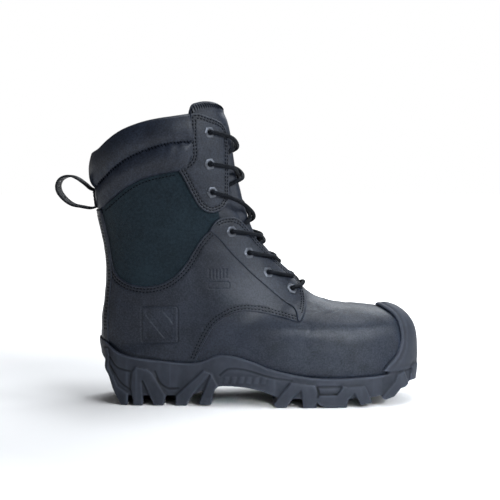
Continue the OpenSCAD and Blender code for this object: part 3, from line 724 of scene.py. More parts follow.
# ---------- outlines of the upper's pieces, in side view [x, z] ----------
UPPER_EYESTAY = smooth([
    [-43.7, 274.3], [-36, 274.6], [-27.1, 271.5], [-17.5, 267.5], [-12.5, 262], [-10.2, 254],
    [-8.9, 228], [-8.2, 204], [-8.7, 194], [-13.1, 185.8], [-22, 181.8], [-29.5, 183.4],
    [-36, 189], [-43.4, 202.2], [-50.4, 216], [-53.9, 222], [-52.3, 226.8], [-45.7, 230.1],
    [-42.6, 236.5], [-43.5, 251], [-43.7, 274.3]])[:-1]
LOWER_EYESTAY = smooth([
    [-25.9, 164.9], [-21.4, 173], [-14, 177], [-5, 177.4], [2.5, 174.2], [7.5, 168.8],
    [19.5, 153.2], [33, 137.5], [45, 126], [55.5, 116.5], [62, 107.5], [65.5, 93], [62.5, 83],
    [57.7, 79.4], [54.5, 89.5], [42.8, 98.5], [19.5, 118.3], [-3.7, 141.5], [-17.7, 157.9],
    [-25.9, 164.9]])[:-1]
PANEL_FRONT = [[-53.6, 221.3], [-42, 217], [-31, 203], [-19, 190], [-16, 174], [-22, 160],
               [-32, 146], [-42, 133]]
SIDE_PANEL = smooth([
    [-131.8, 184.9], [-119.8, 192.9], [-108.1, 202.3], [-96.6, 209.6], [-85, 214.6],
    [-73.3, 217.6]] + PANEL_FRONT + [
    [-52, 121], [-66.3, 112.5], [-80.3, 108.5], [-94.2, 109], [-108, 113], [-119, 124],
    [-123.6, 146.6], [-128.2, 168], [-131.8, 184.9]])[:-1]
PANEL_EDGE = [[-25.9, 166], [-36.2, 153.5], [-45.5, 137.5], [-54.8, 125.7], [-66.3, 117],
              [-80.3, 112.7], [-94.2, 113], [-106.8, 117.2], [-116.4, 126.8], [-120.6, 146.8],
              [-124.6, 168], [-128.8, 184.9]]
VAMP_EDGE = [[-40, 34], [-38.9, 40.4], [-30.5, 59.2], [-23.9, 71.3], [-17.4, 78.8], [-3.6, 86.8],
             [10.3, 89.1], [31.1, 86.2], [49.5, 81.1], [57.6, 79.3], [63, 82.5], [66.8, 93]]
FEATHER = [[-140, 62], [-131, 60.8], [-125.9, 58.2], [-121.1, 53.6], [-115.8, 50.0],
           [-105.2, 46.5], [-89.3, 43.8], [-73.4, 42.2], [-57.5, 40.5], [-43.5, 39.9],
           [-34, 41.4], [-25.7, 45.2], [-18.3, 47.8], [-9.8, 48.4], [0.8, 46.5], [11.4, 43.2],
           [20, 40.5], [29.4, 36.4], [46.3, 31.9], [68.7, 27.9], [91.1, 26.8], [113.6, 27.4],
           [131, 28], [145, 29.5], [180, 31]]
RIM = [[-43.9, 275.2], [-57.1, 273], [-73, 270.6], [-88, 267.3], [-104.2, 261.7],
       [-114.6, 256], [-122.1, 250.4], [-130, 243.4], [-136, 240.2]]
GROOVE = [[-40, 249.3], [-61.8, 247.3], [-78.1, 243.6], [-96.7, 236], [-110.6, 227.6],
          [-122.2, 217], [-131, 208.3], [-135.6, 205.8]]
BUMPER_EDGE = [[131, 24], [132.6, 28], [141.8, 38.1], [151.2, 47.6], [155.4, 58.3],
               [155, 69.6], [151.8, 78.4], [144.9, 86.2]]
BACKSTAY = [[-121, 58], [-121.5, 80], [-119, 110], [-118, 126], [-122, 148],
            [-125.5, 168], [-128.3, 184.2]]
LOWER_EYELETS = [[51.5, 107.8], [28.9, 123.9], [10.7, 143], [-5.5, 163.7]]
UPPER_EYELETS = [[-23.6, 201.1], [-26, 227.5], [-26.5, 257]]
EYELETS = np.array(LOWER_EYELETS + UPPER_EYELETS, float)
SIDES = (("lateral", 1), ("medial", -1))


def feather_z(x):
    line = smooth(FEATHER)
    return np.interp(x, line[:, 0], line[:, 1])


def whole_loop(chart, half):
    """Closed loop from a half outline that starts and ends on the centre line."""
    q = chart.from_side(np.asarray(half, float))
    q[0, 1] = q[-1, 1] = 0.02
    return mirrored(q)


def form(p):
    """The slow unevenness of the whole leather upper, shared so that its layers stay in touch."""
    return fbm(p, 34, 3, 3.1) * 0.55


def wrinkles(amount, scale=22.0, seed=0.0):
    return lambda q, p, d: form(p) + fbm(p * [1, 0.8, 1.25], scale, 3, seed) * amount


# ---------- the sheets of the upper, and the toe bumper ----------
def low_edge(x0, x1, step, drop):
    xs = np.arange(x0, x1, step)
    return [[x, feather_z(x) - drop] for x in xs]


def build_vamp():
    back_edge = [[x - 4, z + 4] for x, z in smooth(VAMP_EDGE, 0.5)][::-1]
    back_edge = [p for p in back_edge if p[1] > feather_z(p[0]) - 3]
    half = [[57.5, 114.5], [59.5, 108], [60.5, 98], [60.5, 90]] + back_edge[2:]
    q = FRONT_CHART.from_side(np.array(half + low_edge(-42, 156, 4, 4)))
    q[0] = [station(np.array([57.5, 115.3])), 0.02]
    tip_row = np.stack([np.full(13, 19.4), mix(q[-1, 1] * 0.93, 0.02, np.linspace(0, 1, 14)[1:])],
                       -1)

    def shape(q, p, d):
        x, z = p[:, 0], p[:, 2]
        flex = ease(30, 62, x) * (1 - ease(95, 122, x)) * ease(45, 80, z)
        lines = np.sin(x / 3.4 + fbm(p, 26, 2, 9.0) * 5.5)
        cap = 0.5 * ease(104, 114, x) * (1 - ease(150, 158, x))
        return form(p) + cap - 0.32 * flex * np.maximum(0, lines) ** 3

    obj, _, _ = panel("vamp_leather", FRONT_CHART, mirrored(np.concatenate([q, tip_row])),
                      LEATHER, 0.0, 1.8, grid=2.2, detail=shape)
    piece(obj, ["vamp"])


def box_frame(p, low, high, half_width=0.55, corner=1.5):
    """1 on the line of a rounded rectangle drawn on the outer face, else 0."""
    c, h = (np.array(low) + high) / 2, (np.array(high) - low) / 2 - corner
    d = np.abs(p[:, [0, 2]] - c) - h
    outside = np.linalg.norm(np.maximum(d, 0), axis=1) + np.minimum(d.max(1), 0) - corner
    return (1 - ease(half_width * 0.55, half_width * 1.5, np.abs(outside))) * (p[:, 1] < 0)


MARK_BARS = ((-26.7, 119.9), (-7.5, 129.2))
MARK_FRAME = ((-26.7, 110.5), (-7.0, 116.6))
MARK_SQUARE = ((-89.9, 58.6), (-55.5, 93.4))


def mark(p):
    """Generic relief: a row of bars, a rounded frame, and a plain square with diagonal bands."""
    (x0, z0), (x1, z1) = MARK_BARS
    low, high = MARK_SQUARE
    x, z = p[:, 0], p[:, 2]
    inside = (x > x0) & (x < x1) & (z > z0) & (z < z1)
    bars = inside * ease(-0.25, 0.25, np.sin((x - x0) / (x1 - x0) * 12 * math.pi))
    within = (x > low[0] + 4) & (x < high[0] - 4) & (z > low[1] + 4) & (z < high[1] - 4)
    waves = ease(0.25, 0.6, np.sin((x + 0.8 * z) / 3.1)) * within * 0.6
    return ((bars + box_frame(p, *MARK_FRAME)) * 0.75
            + (box_frame(p, low, high, 0.6, 2.5) + waves) * 1.25)


def build_quarter(name, side):
    seam_top = [[63.5, 103], [58.5, 113.5], [48.5, 122.5], [33, 135.4], [19, 151], [7, 166.5],
                [1.5, 172.2], [-5, 175.4], [-14, 175], [-20.5, 171.5], [-24.9, 165.8]]
    loop = [p for p in smooth(VAMP_EDGE, 0.5).tolist() if p[1] > feather_z(p[0]) - 2]
    loop += smooth(seam_top, 0.5).tolist() + smooth(PANEL_EDGE, 0.5).tolist()[1:]
    loop += [[-129.6, 184.9], [-128, 168], [-125.2, 148], [-123.8, 128], [-124.8, 105],
             [-126.8, 85], [-127.2, 66]]
    q = FRONT_CHART.from_side(np.array(loop + low_edge(-124, -42, 4, 4)), side)
    dense = []
    for x0, x1, z0, z1 in ((-28.5, -5, 108.5, 131), (-92, -53, 56.5, 95.5)) if side > 0 else ():
        c = FRONT_CHART.from_side(np.array([[x, z] for x in (x0, x1) for z in (z0, z1)]))
        dense.append((c.min(0), c.max(0), 0.62))

    def shape(q, p, d):
        x, z = p[:, 0], p[:, 2]
        ankle = ease(-75, -30, x) * (1 - ease(0, 40, x)) * ease(80, 100, z)
        folds = np.sin((z + 0.55 * x) / 4.2 + fbm(p, 24, 2, 2.0) * 4.0)
        relief = 0.55 * mark(p) if side > 0 else 0
        heel = 0.28 * (1 - ease(-112, -98, x)) * ease(50, 60, z)
        return form(p) + heel - 0.14 * ankle * np.maximum(0, folds) ** 2 - relief

    obj, *cut = panel("quarter_" + name + "_leather", FRONT_CHART, q, LEATHER, 1.25, 2.6,
                      grooves=QUARTER_SEAM, detail=shape, dense=dense, grid=2.3)
    piece(obj, ["quarter_" + name])
    trees = [tree_of(np.column_stack([line, line[:, 0] * 0]))
             for line in (smooth(VAMP_EDGE), smooth(PANEL_EDGE))]

    def by_seam(p):
        flat = np.column_stack([p[:, 0], p[:, 2], p[:, 0] * 0])
        near = np.minimum(*(distances(flat, tree) for tree in trees)) < 3.2
        return near & (p[:, 2] > feather_z(p[:, 0]) + 0.5) & (p[:, 0] > -122.5)

    seam("quarter_" + name + "_stitching", FRONT_CHART, cut, obj, QUARTER_SEAM, by_seam, 1.2)


def build_side_panel(name, side):
    def shape(q, p, d):
        puff = 0.72 * (1 - np.exp(-(np.maximum(d - 3, 0) / 9) ** 1.5))
        return puff + form(p) + fbm(p, 18, 2, 1.7 * side) * 0.2

    q = FRONT_CHART.from_side(SIDE_PANEL, side)
    obj, _, _ = panel("side_panel_" + name + "_cloth", FRONT_CHART, q, NYLON, -0.25, 1.5, grid=2.8,
                      detail=shape)
    return piece(obj, ["side_panel_" + name])


def build_eyestays(name, side):
    # The long lower edge of the lower eyestay is turned under, with no stitching to be seen
    (x0, z0), (x1, z1) = (57.7, 79.4), (-25.9, 164.9)
    slope = (z1 - z0) / (x1 - x0)
    stitched = lambda p: p[:, 2] - z0 - slope * (p[:, 0] - x0) > 11
    anywhere = lambda p: p[:, 2] > 0
    for part, loop, height, thick, seed, where in (
            ("lower", LOWER_EYESTAY, 2.4, 3.0, 4.0, stitched),
            ("upper", UPPER_EYESTAY, 2.3, 3.6, 6.0, anywhere)):
        node = part + "_eyestay_" + name
        obj, *cut = panel(
            node + "_leather", FRONT_CHART, FRONT_CHART.from_side(loop, side), LEATHER, height,
            thick, grooves=EDGE_SEAM, grid=2.0, detail=wrinkles(0.15, 20, seed * side),
            spacing=1.2, sewn=where)
        piece(obj, [node])
        seam(node + "_stitching", FRONT_CHART, cut, obj, EDGE_SEAM, where, height)


def build_backstay():
    half = [[-127.2, 58]] + smooth(BACKSTAY, 0.5).tolist() + [[-132.8, 184.4]]
    obj, *cut = panel("backstay_leather", BACK_CHART, whole_loop(BACK_CHART, half), LEATHER, 2.5,
                      2.2, grooves=EDGE_SEAM, detail=wrinkles(0.12, 20, 8.0), grid=2.2)
    piece(obj, ["backstay"])
    sides = lambda p: (p[:, 2] > 68) & (p[:, 2] < 182)
    seam("backstay_stitching", BACK_CHART, cut, obj, EDGE_SEAM, sides, 2.4)


def build_bumper():
    """The toe bumper, which build_sole() joins to the outsole."""
    edge = [p for p in smooth(BUMPER_EDGE, 0.5).tolist() if p[1] > 29.2][-2::-1]
    low = [[145, 30.3], [155, 31], [163.5, 31.6], [167, 34.5]]
    q = FRONT_CHART.from_side(np.array(edge + low))
    crown = station(np.array([134.5, 89.3]))
    t, across = q[0]
    run = [[crown + (t - crown) * (v / across) ** 1.5, v] for v in (4, 8, 12, 16, 20)]
    tip = [[LAST_T, v] for v in np.linspace(half_round(LAST_T) * 0.97, 0.02, 12)]
    q = np.concatenate([[[crown, 0.02]], run, q, [[20.6, half_round(20.6) * 0.95]], tip])

    def shape(q, p, d):
        rib = -1.2 * np.exp(-((d - 4.2) / 0.9) ** 2)
        step = 0.5 * ease(4.5, 6.5, d)
        rim = -2.6 * np.exp(-d / 5) * ease(40, 56, p[:, 2])
        return (rib + step) * ease(34, 42, p[:, 2]) + rim + fbm(p, 30, 2, 2.2) * 0.12

    def level(p):
        return 5.0 - 0.4 * ease(27, 42, p[:, 2]) + ease(60, 86, p[:, 2])

    profile = ((0, -2.2), (0.25, -1.3), (0.8, -0.45), (1.6, -0.1), (2.6, 0.0))
    obj, _, _ = panel("toe_bumper_rubber", FRONT_CHART, mirrored(q), SOLE, level, 4.6, profile,
                      grooves=(4.2,), groove_depth=0.05, grid=1.7, detail=shape, weld=True,
                      spacing=1.2)
    return obj


# ---------- padded pieces ----------
def grid_uv(along, count, pitch):
    return np.stack(np.meshgrid(along, np.arange(count) * pitch, indexing="ij"), -1).reshape(-1, 2)


def loft(name, rows, material, uv):
    """Closed rings of points, joined row to row, with a face over each end."""
    rings, sides = rows.shape[:2]
    faces = sleeve(0, rings, sides)
    return face_outwards(new_object(name, rows.reshape(-1, 3), faces, material, uv))


def inflate(obj, pinned, pressure, cap):
    """Cloth under pressure, held at its seams; no point moves further than cap mm."""
    stiffness, last_frame = 12.0, 20
    rest = np.array([v.co for v in obj.data.vertices])
    group = obj.vertex_groups.new(name="seam")
    for i in np.nonzero(pinned)[0]:
        group.add([int(i)], 1.0, "REPLACE")
    cloth = obj.modifiers.new("cloth", "CLOTH")
    s = cloth.settings
    s.quality, s.mass = 5, 0.15
    s.tension_stiffness = s.compression_stiffness = stiffness
    s.shear_stiffness, s.bending_stiffness = stiffness * 0.5, 0.4
    s.use_pressure, s.uniform_pressure_force = True, pressure
    s.vertex_group_mass, s.pin_stiffness = "seam", 1.0
    s.effector_weights.gravity = 0
    cloth.collision_settings.use_collision = False
    cloth.point_cache.frame_start, cloth.point_cache.frame_end = 1, last_frame
    for f in range(1, last_frame + 1):
        scene.frame_set(f)
    shape = obj.evaluated_get(bpy.context.evaluated_depsgraph_get()).to_mesh()
    step = np.array([v.co for v in shape.vertices]) - rest
    obj.modifiers.remove(cloth)
    obj.vertex_groups.clear()
    scene.frame_set(1)
    size = np.linalg.norm(step, axis=1, keepdims=True)
    step *= np.minimum(1, cap * MM / np.maximum(size, 1e-9))
    obj.data.vertices.foreach_set("co", (rest + step).ravel())
    obj.data.update()


def line_by_arc(points):
    """Station as a function of the share of the way from the back, and the front arc."""
    q = BACK_CHART.from_side(smooth(points))
    q = q[np.argsort(q[:, 1])]
    return lambda k: np.interp(np.abs(k) * q[-1, 1], q[:, 1], q[:, 0]), q[-1, 1]


def build_upper_roll():
    """A ring of sections: up the outside, over the rim, and 34 mm down inside."""
    rim, rim_arc = line_by_arc([[x, z - 3.8] for x, z in RIM])
    groove, groove_arc = line_by_arc([[x, z - 1.3] for x, z in GROOVE])
    ks, sample, inner_off, deep = np.linspace(-1, 1, 241), np.linspace(0, 1, 20), 8.2, 34
    turn, down = np.linspace(0, math.pi, 9)[1:-1, None], np.linspace(0, deep, 14)
    rows, weights = [], []
    for k in ks:
        top_q = np.array([rim(k), k * rim_arc])
        q = mix(np.array([groove(k), k * groove_arc]), top_q, sample[:, None])
        p, n = BACK_CHART.point(q), BACK_CHART.normal(q)
        girth = k * rim_arc
        pucker = noise.noise(Vector((girth / 3.6, 0.5, 0))) * 1.1
        crease = noise.noise(Vector((girth / 11.0, 4.5, 0)))
        bulge = (1 - (1 - np.minimum(1, sample / 0.42)) ** 2.4) * (
            1 - 0.55 * np.maximum(0, (sample - 0.5) / 0.5) ** 2)
        h = 0.9 + 4.3 * bulge + pucker * np.exp(-((sample - 0.14) / 0.13) ** 2)
        h += 0.55 * crease * np.sin(np.pi * sample)
        slope = BACK_CHART.slopes(top_q[None])[0][0]
        speed = np.linalg.norm(slope)
        wide, centre = (h[-1] + inner_off) / 2, (h[-1] - inner_off) / 2
        over = p[-1] + n[-1] * (centre + wide * np.cos(turn)) - slope / speed * (
            3.6 * np.sin(turn))
        qi = top_q + np.stack([down / speed, down * 0], -1)
        pi, ni = BACK_CHART.point(qi), BACK_CHART.normal(qi)
        hi = -inner_off - 1.6 * np.sin(np.pi * down / deep) + 2.2 * ease(26, deep, down)
        hidden = pi[[-1, 8, 3]] + ni[[-1, 8, 3]] * np.array([[-4.9], [-3.6], [-2.6]])
        rows.append(np.concatenate([p + n * h[:, None], over, pi + ni * hi[:, None], hidden]))
        held = np.concatenate([sample < 0.06, np.zeros(len(over)), down > 31, np.ones(3)])
        weights.append(held * 0 + 1 if abs(k) > 0.985 else held)
    obj = loft("collar_roll_upper_leather", np.array(rows), ROLL_LEATHER,
               grid_uv(ks * rim_arc, len(rows[0]), 2.4))
    inflate(obj, np.ravel(weights), 3.0, 2.0)
    piece(obj, ["collar_roll_upper"])


def build_lower_roll():
    half = [[-135.7, 207.0]] + [[x, z + 0.8] for x, z in smooth(GROOVE[:-1], 0.5)[::-1]]
    half += [[-40, 236], [-46, 222], [-53.6, 221.0]]
    top_edge = [[-53.6, 221.3], [-73.3, 217.6], [-85, 214.6], [-96.6, 209.6], [-108.1, 202.3],
                [-119.8, 192.9], [-127.4, 185.6]]
    half += smooth(top_edge, 0.5).tolist()[1:] + [[-131.4, 181.5], [-133.0, 180.5]]

    def shape(q, p, d):
        side = mix(0.3, 1.0, ease(9, 26, np.abs(q[:, 1])))
        pucker = np.array([noise.noise(Vector((v / 3.4, 2.5, 0))) for v in q[:, 1]])
        crease = fbm(p * [1, 1, 0.6], 13, 2, 5.5)
        rise = 1.1 + 4.3 * (1 - np.exp(-(np.maximum(d, 0) / 5.0) ** 1.35))
        return (rise + 0.9 * pucker * np.exp(-((d - 3.2) / 2.4) ** 2) + crease * 0.5) * side

    obj, _, _ = panel("collar_roll_lower_leather", BACK_CHART, whole_loop(BACK_CHART, half),
                      ROLL_LEATHER, 0.0, 3.0, SOFT_EDGE, grid=2.0, detail=shape)
    flat = np.array([v.co for v in obj.data.vertices]) / MM
    q = BACK_CHART.from_side(flat[:, [0, 2]])
    q[:, 1] *= np.where(flat[:, 1] < midline(flat[:, 0]), 1, -1)
    inflate(obj, np.linalg.norm(flat - BACK_CHART.point(q), axis=1) < 3.4, 2.0, 1.2)
    piece(obj, ["collar_roll_lower"])


EDGE_POINTS = [[-12.5, 262], [-10.2, 254], [-8.9, 228], [-8.2, 204], [-8.7, 194],
               [2.5, 174.2], [7.5, 168.8], [19.5, 153.2]]
_edge_t = station(np.array(EDGE_POINTS, float))
_edge_a = angle_at(_edge_t, np.array(EDGE_POINTS, float))


def facing_edge(t):
    return np.maximum(14, np.interp(t, _edge_t, _edge_a))


TONGUE_SEAM = 8.5      # mm from the top end to the row sewn across the tongue


def tongue_crown(t):
    return mix(-2.2, -4.6, ease(4, 6.5, t)) + 2.2 * (1 - ease(0.1, 3.2, t))


def tongue_top(t, a):
    e = facing_edge(t)
    return mix(tongue_crown(t), mix(-4.2, -7.1, ease(0.2, 2.2, t)),
               ease(0.2 * e, mix(1.8, 0.65, ease(0.2, 3.0, t)) * e, np.abs(a)))


def tongue_place(k, u):
    """Station and angle at k across the tongue, u of the way down from its rounded top."""
    reach = np.abs(k)
    top = 0.56 - 0.26 * ease(0, 0.62, reach) + 0.95 * ease(0.72, 1.05, reach) ** 1.5
    t = top + (9.6 - top) * u
    return t, k * mix(64, 50, ease(0.6, 2.6, t))


def tongue_thick(t, k):
    return 7 * mix(1, 0.45, ease(1, 9.6, t)) * (1 - 0.75 * np.abs(k) ** 3)


def tongue_pinch(t, k):
    """Depth in mm below the tongue's top edge, and how far its two faces draw together."""
    depth = (t - tongue_place(k, 0)[0]) * 20
    return depth, 0.44 * np.exp(-(depth / 2.6) ** 1.5)


def build_tongue():
    across, count, run = 44, 110, 185
    us, ks = np.linspace(0, 1, count) ** 1.25, np.linspace(-1, 1, across + 1)
    rows = []
    for u in us:
        t, a = tongue_place(ks, u)
        depth, pinch = tongue_pinch(t, ks)
        thick = tongue_thick(t, ks)
        sew = 0.35 * np.exp(-((depth - TONGUE_SEAM) / 0.9) ** 2)
        puff = 0.8 * ease(9, 16, depth) * (1 - ease(45, 60, depth)) * (1 - ks ** 4)
        soft = np.array([noise.noise(Vector((k * 3.1, u * 16, 7.7))) for k in ks]) * 0.3
        level = tongue_top(t, a) - mix(0, 2.5, ease(8.6, 9.6, t))
        up = surf(t, a, level - thick * pinch - sew + puff + soft)
        down = surf(t, a, level - thick * (1 - pinch))
        rows.append(np.concatenate([up, down[::-1]]))
    m = len(rows[0])
    obj = loft("tongue_leather", np.array(rows), ROLL_LEATHER, grid_uv(us * run, m, 2.0))
    pinned = np.zeros((count, m))
    pinned[(us > 0.27) | (np.abs(us * run - TONGUE_SEAM) < 1.2)] = 1
    pinned[:2] = 1
    pinned[:, [0, across, across + 1, m - 1]] = 1
    inflate(obj, pinned.ravel(), 2.5, 1.4)
    piece(obj, ["tongue"])
    # Overcast stitches round the top end
    stitches = []
    for k in np.linspace(-0.97, 0.97, 41):
        t, a = tongue_place(np.full(5, k), np.linspace(0.004, 0.036, 5))
        p = surf(t, a, tongue_top(t, a) - tongue_thick(t, k) * tongue_pinch(t, k)[1] + 0.1)
        stitches.append((p, unit(surf(t, a, 3.0) - p)))
    bars("tongue_overcast", on_skin(stitches, obj, 0.05), 0.5)


def bars(name, rows, radius):
    """A bent round bar along each row of points, sunk at both ends."""
    verts, faces, sides = [], [], 6
    for places, normals in rows:
        last = len(places) - 1
        faces += sleeve(len(verts), last + 1, sides)
        for i, (p, n) in enumerate(zip(places, normals)):
            across = unit(np.cross(n, unit(places[min(i + 1, last)] - places[max(i - 1, 0)])))
            r, sink = (0.35 * radius, -0.5 * radius) if i in (0, last) else (radius, 0.35 * radius)
            verts += [p + n * (sink + r * math.sin(w)) + across * r * math.cos(w)
                      for w in np.arange(sides) * 2 * math.pi / sides]
    piece(new_object(name, verts, faces, THREAD))


def build_collar_stitching(name, side, cloth):
    def side_row(points, height):
        q = FRONT_CHART.from_side(smooth(points), side)
        n = FRONT_CHART.normal(q)
        return FRONT_CHART.point(q) + n * height, n

    cloth_top = [[-125, 183], [-116.5, 190.4], [-106, 199.3], [-95.2, 206.6], [-84.2, 211.5],
                 [-72.6, 214.5], [-56, 217.8]]
    stitch_rows("panel_" + name + "_top_stitching",
                on_skin([side_row(cloth_top, 0.55)], cloth, 0.25))
    # Slanted stitches over the groove between the two rolls
    p, n = side_row([[x + 0.3, z - 1.0] for x, z in GROOVE[:-1]], 1.7)
    along, across = run_length(p), np.linspace(-1, 1, 5)
    slanted = []
    for s in np.arange(3, along[-1] - 3, 3.1):
        centre, normals = (at_length(s + 1.2 * across, along, table) for table in (p, n))
        rise = 1.9 * across[:, None] * [0, 0, 1.0]
        arch = 1.2 * np.abs(across[:, None]) ** 1.5 * normals
        slanted.append((centre + rise + arch, normals))
    bars("groove_" + name + "_stitching", slanted, 0.5)


def build_gusset(name, side):
    inner = np.array([[-46, 184], [-38, 170], [-24, 152], [-4, 132], [20, 113], [36, 101]], float)
    q = FRONT_CHART.from_side(np.concatenate([smooth(inner), smooth(inner + [12, 7])[::-1]]), side)
    obj, _, _ = panel("gusset_" + name + "_cloth", FRONT_CHART, q, LINING, -2.4, 0.8,
                      profile=((0, -0.1), (0.5, 0)), grid=2.4, detail=wrinkles(0.35, 9, side))
    piece(obj, ["gusset_" + name])


# ---------- eyelets and lace ----------
BORE, EYELET_W, FLANGE, MOUTH, THROAT = 5.2, 11.4, 0.8, 2.6, -2.5
LACE_D = 3.9
EYELET_T = station(EYELETS)
EYELET_A = angle_at(EYELET_T, EYELETS)


def eyelet_frame(i, side):
    t, a = EYELET_T[i], side * EYELET_A[i]
    seat = surf(t, a)
    n = unit(np.cross(surf(t + 0.05, a) - surf(t - 0.05, a), surf(t, a + 2) - surf(t, a - 2)))
    return seat, n * (1 if n[1] * math.sin(math.radians(a)) < 0 else -1)


def build_eyelets(name, first, last):
    """Hexagonal flanges with a rolled round lip and a bore. A ring is its radius, how
    hexagonal it is, and its height."""
    r, hexagon, sides, top = BORE / 2, EYELET_W / 2, 36, MOUTH + 0.1
    rings = [(r, 0, THROAT), (r, 0, top - 0.5), (r + 0.08, 0, top + 0.1), (r + 0.35, 0, top + 0.42),
             (r + 0.75, 0, top + 0.42), (r + 1.1, 0, top + 0.16), (hexagon - 1.0, 0.8, top + 0.02),
             (hexagon - 0.35, 1, top - 0.04), (hexagon - 0.06, 1, top - 0.2),
             (hexagon, 1, top - 0.42), (hexagon, 1, top - FLANGE), (r + 0.8, 0, top - FLANGE),
             (r + 0.8, 0, THROAT)]
    w = np.arange(sides) * 2 * math.pi / sides
    fold = (w + math.pi / 6) % (math.pi / 3) - math.pi / 6
    flat = mix(1, math.cos(math.pi / 6) / np.cos(np.abs(fold) - math.pi / 6), 0.92)
    verts, faces = [], []
    for i in range(first, last + 1):
        for side in (1, -1):
            seat, n = eyelet_frame(i, side)
            x = np.array([1.0, 0, 0.12])
            x = unit(x - n * (n @ x))
            spokes = x * np.cos(w)[:, None] + np.cross(n, x) * np.sin(w)[:, None]
            start, m = len(verts), len(rings)
            for radius, angular, h in rings:
                verts.extend(seat + n * h + spokes * (radius * mix(1, flat, angular))[:, None])
            for k in range(m):
                a, b = start + k * sides, start + (k + 1) % m * sides
                faces += [(a + s, a + (s + 1) % sides, b + (s + 1) % sides, b + s)
                          for s in range(sides)]
    obj = face_outwards(new_object("eyelets_" + name + "_metal", verts, faces, EYELET))
    piece(obj, ["eyelets_" + name])


LACE_R = LACE_D / 2
TURN = LACE_R + 0.2
LACE_TOP, LACE_UNDER = MOUTH + TURN, THROAT - TURN


def quarter_turn(i, side, end, ahead):
    """The lace leaving eyelet i, on its outer (end 1) or inner (end -1) side, towards a point."""
    seat, n = eyelet_frame(i, side)
    n = n * end
    base = seat + n * (MOUTH if end > 0 else -THROAT)
    v = ahead - base
    d = unit(v - n * (v @ n))
    return [base + TURN * (n * math.sin(w) + d * (1 - math.cos(w)))
            for w in np.radians([0, 30, 60, 90])]


def crossing(i, side, over):
    """The lace from inside eyelet i to outside eyelet i + 1 on the other side."""
    j = i + 1
    middle = (EYELET_T[i] + EYELET_T[j]) / 2
    clear_of = facing_edge(middle) - 3.5
    climb = 1.5 if i >= 3 else 1.0
    under = LACE_UNDER - (1.2 if i == 0 else 0)
    top = tongue_crown(middle) + LACE_R + (LACE_D - 0.1 if over else 0)

    def path(u):
        a = mix(EYELET_A[i], -EYELET_A[j], u)
        height = mix(top, under if a > 0 else LACE_TOP, ease(0.3 * clear_of, clear_of, abs(a)))
        return surf(mix(EYELET_T[i], EYELET_T[j], u ** climb), side * a, height)

    return (quarter_turn(i, side, -1, path(0.2)) + [path(u) for u in np.arange(0.14, 0.871, 0.048)]
            + quarter_turn(j, -side, 1, path(0.8))[::-1])


def lace_path():
    def strand(side):
        """Up through the eyelets from the given side, then a short tail inside."""
        points = []
        for i in range(6):
            points += crossing(i, side, side * (-1) ** i > 0)
            side = -side
        tail = [surf(EYELET_T[6] + (6.2 - s) * 0.8 + 0.25, side * (EYELET_A[6] + a), LACE_UNDER)
                for s, a in ((6.2, 6), (5.7, 9), (5.2, 10), (4.6, 9))]
        return points + quarter_turn(6, side, -1, tail[0]) + tail

    def bar(u):
        return surf(EYELET_T[0] - 0.25 * math.sin(math.pi * u), mix(EYELET_A[0], -EYELET_A[0], u),
                    LACE_TOP)

    across = quarter_turn(0, 1, 1, bar(0.25)) + [bar(u) for u in np.arange(0.16, 0.851, 0.085)]
    across += quarter_turn(0, -1, 1, bar(0.75))[::-1]
    return np.array(strand(1)[::-1] + across + strand(-1))


def even_path(points, spacing):
    keep = [0] + [i for i in range(1, len(points))
                  if np.linalg.norm(points[i] - points[i - 1]) > 0.05]
    dense = spline(points[keep], np.arange(0, len(keep) - 1, 0.125))
    along = run_length(dense)
    return at_length(np.arange(0, along[-1], spacing), along, dense)


def tube(name, points, radius, sides, material):
    """Round cord along points, without twist; UV is mm along and the share of the way round."""
    radius = np.broadcast_to(radius, len(points))
    tangent = unit(np.gradient(points, axis=0))
    n = np.cross(tangent[0], [0, 1, 0.3])
    verts, uv = [], []
    for p, t, r, s in zip(points, tangent, radius, run_length(points)):
        n = unit(n - t * (n @ t))
        b = np.cross(t, n)
        for share in np.arange(sides) / sides:
            w = 2 * math.pi * share
            verts.append(p + r * (n * math.cos(w) + b * math.sin(w)))
            uv.append((s, share))
    return new_object(name, verts, sleeve(0, len(points), sides), material, uv)


def build_lace():
    points = lace_path()
    path = even_path(points, 0.9)
    braid = 0.06 * np.sin(np.arange(len(path)) * 1.57)
    piece(tube("lace_cord", path, LACE_R - 0.05 + braid, 14, LACE), ["lace"])
    steps = np.array([0.2, 0.5, 3, 3.4, 4, 4.4, 5, 14, 15.4, 16.0])
    radii = np.array([1.7, 1.95, 1.95, 1.75, 1.75, 1.95, 1.95, 1.9, 1.75, 1.2])
    for name, end, before in (("aglet_1", 0, 1), ("aglet_2", -1, -2)):
        line = points[end] + unit(points[end] - points[before]) * steps[:, None]
        piece(tube(name, line, radii, 16, AGLET), ["aglets"])


# ---------- pull loop ----------
LOOP_LINE = [[-133.5, 201.5], [-140.6, 203.4], [-146.5, 208.3], [-153, 213], [-159.6, 215.7],
             [-166, 215], [-170.8, 211.6], [-172.8, 205.6], [-170.8, 199], [-165, 192.4],
             [-158, 188], [-150, 186.3], [-140.6, 184.9], [-133.5, 187]]


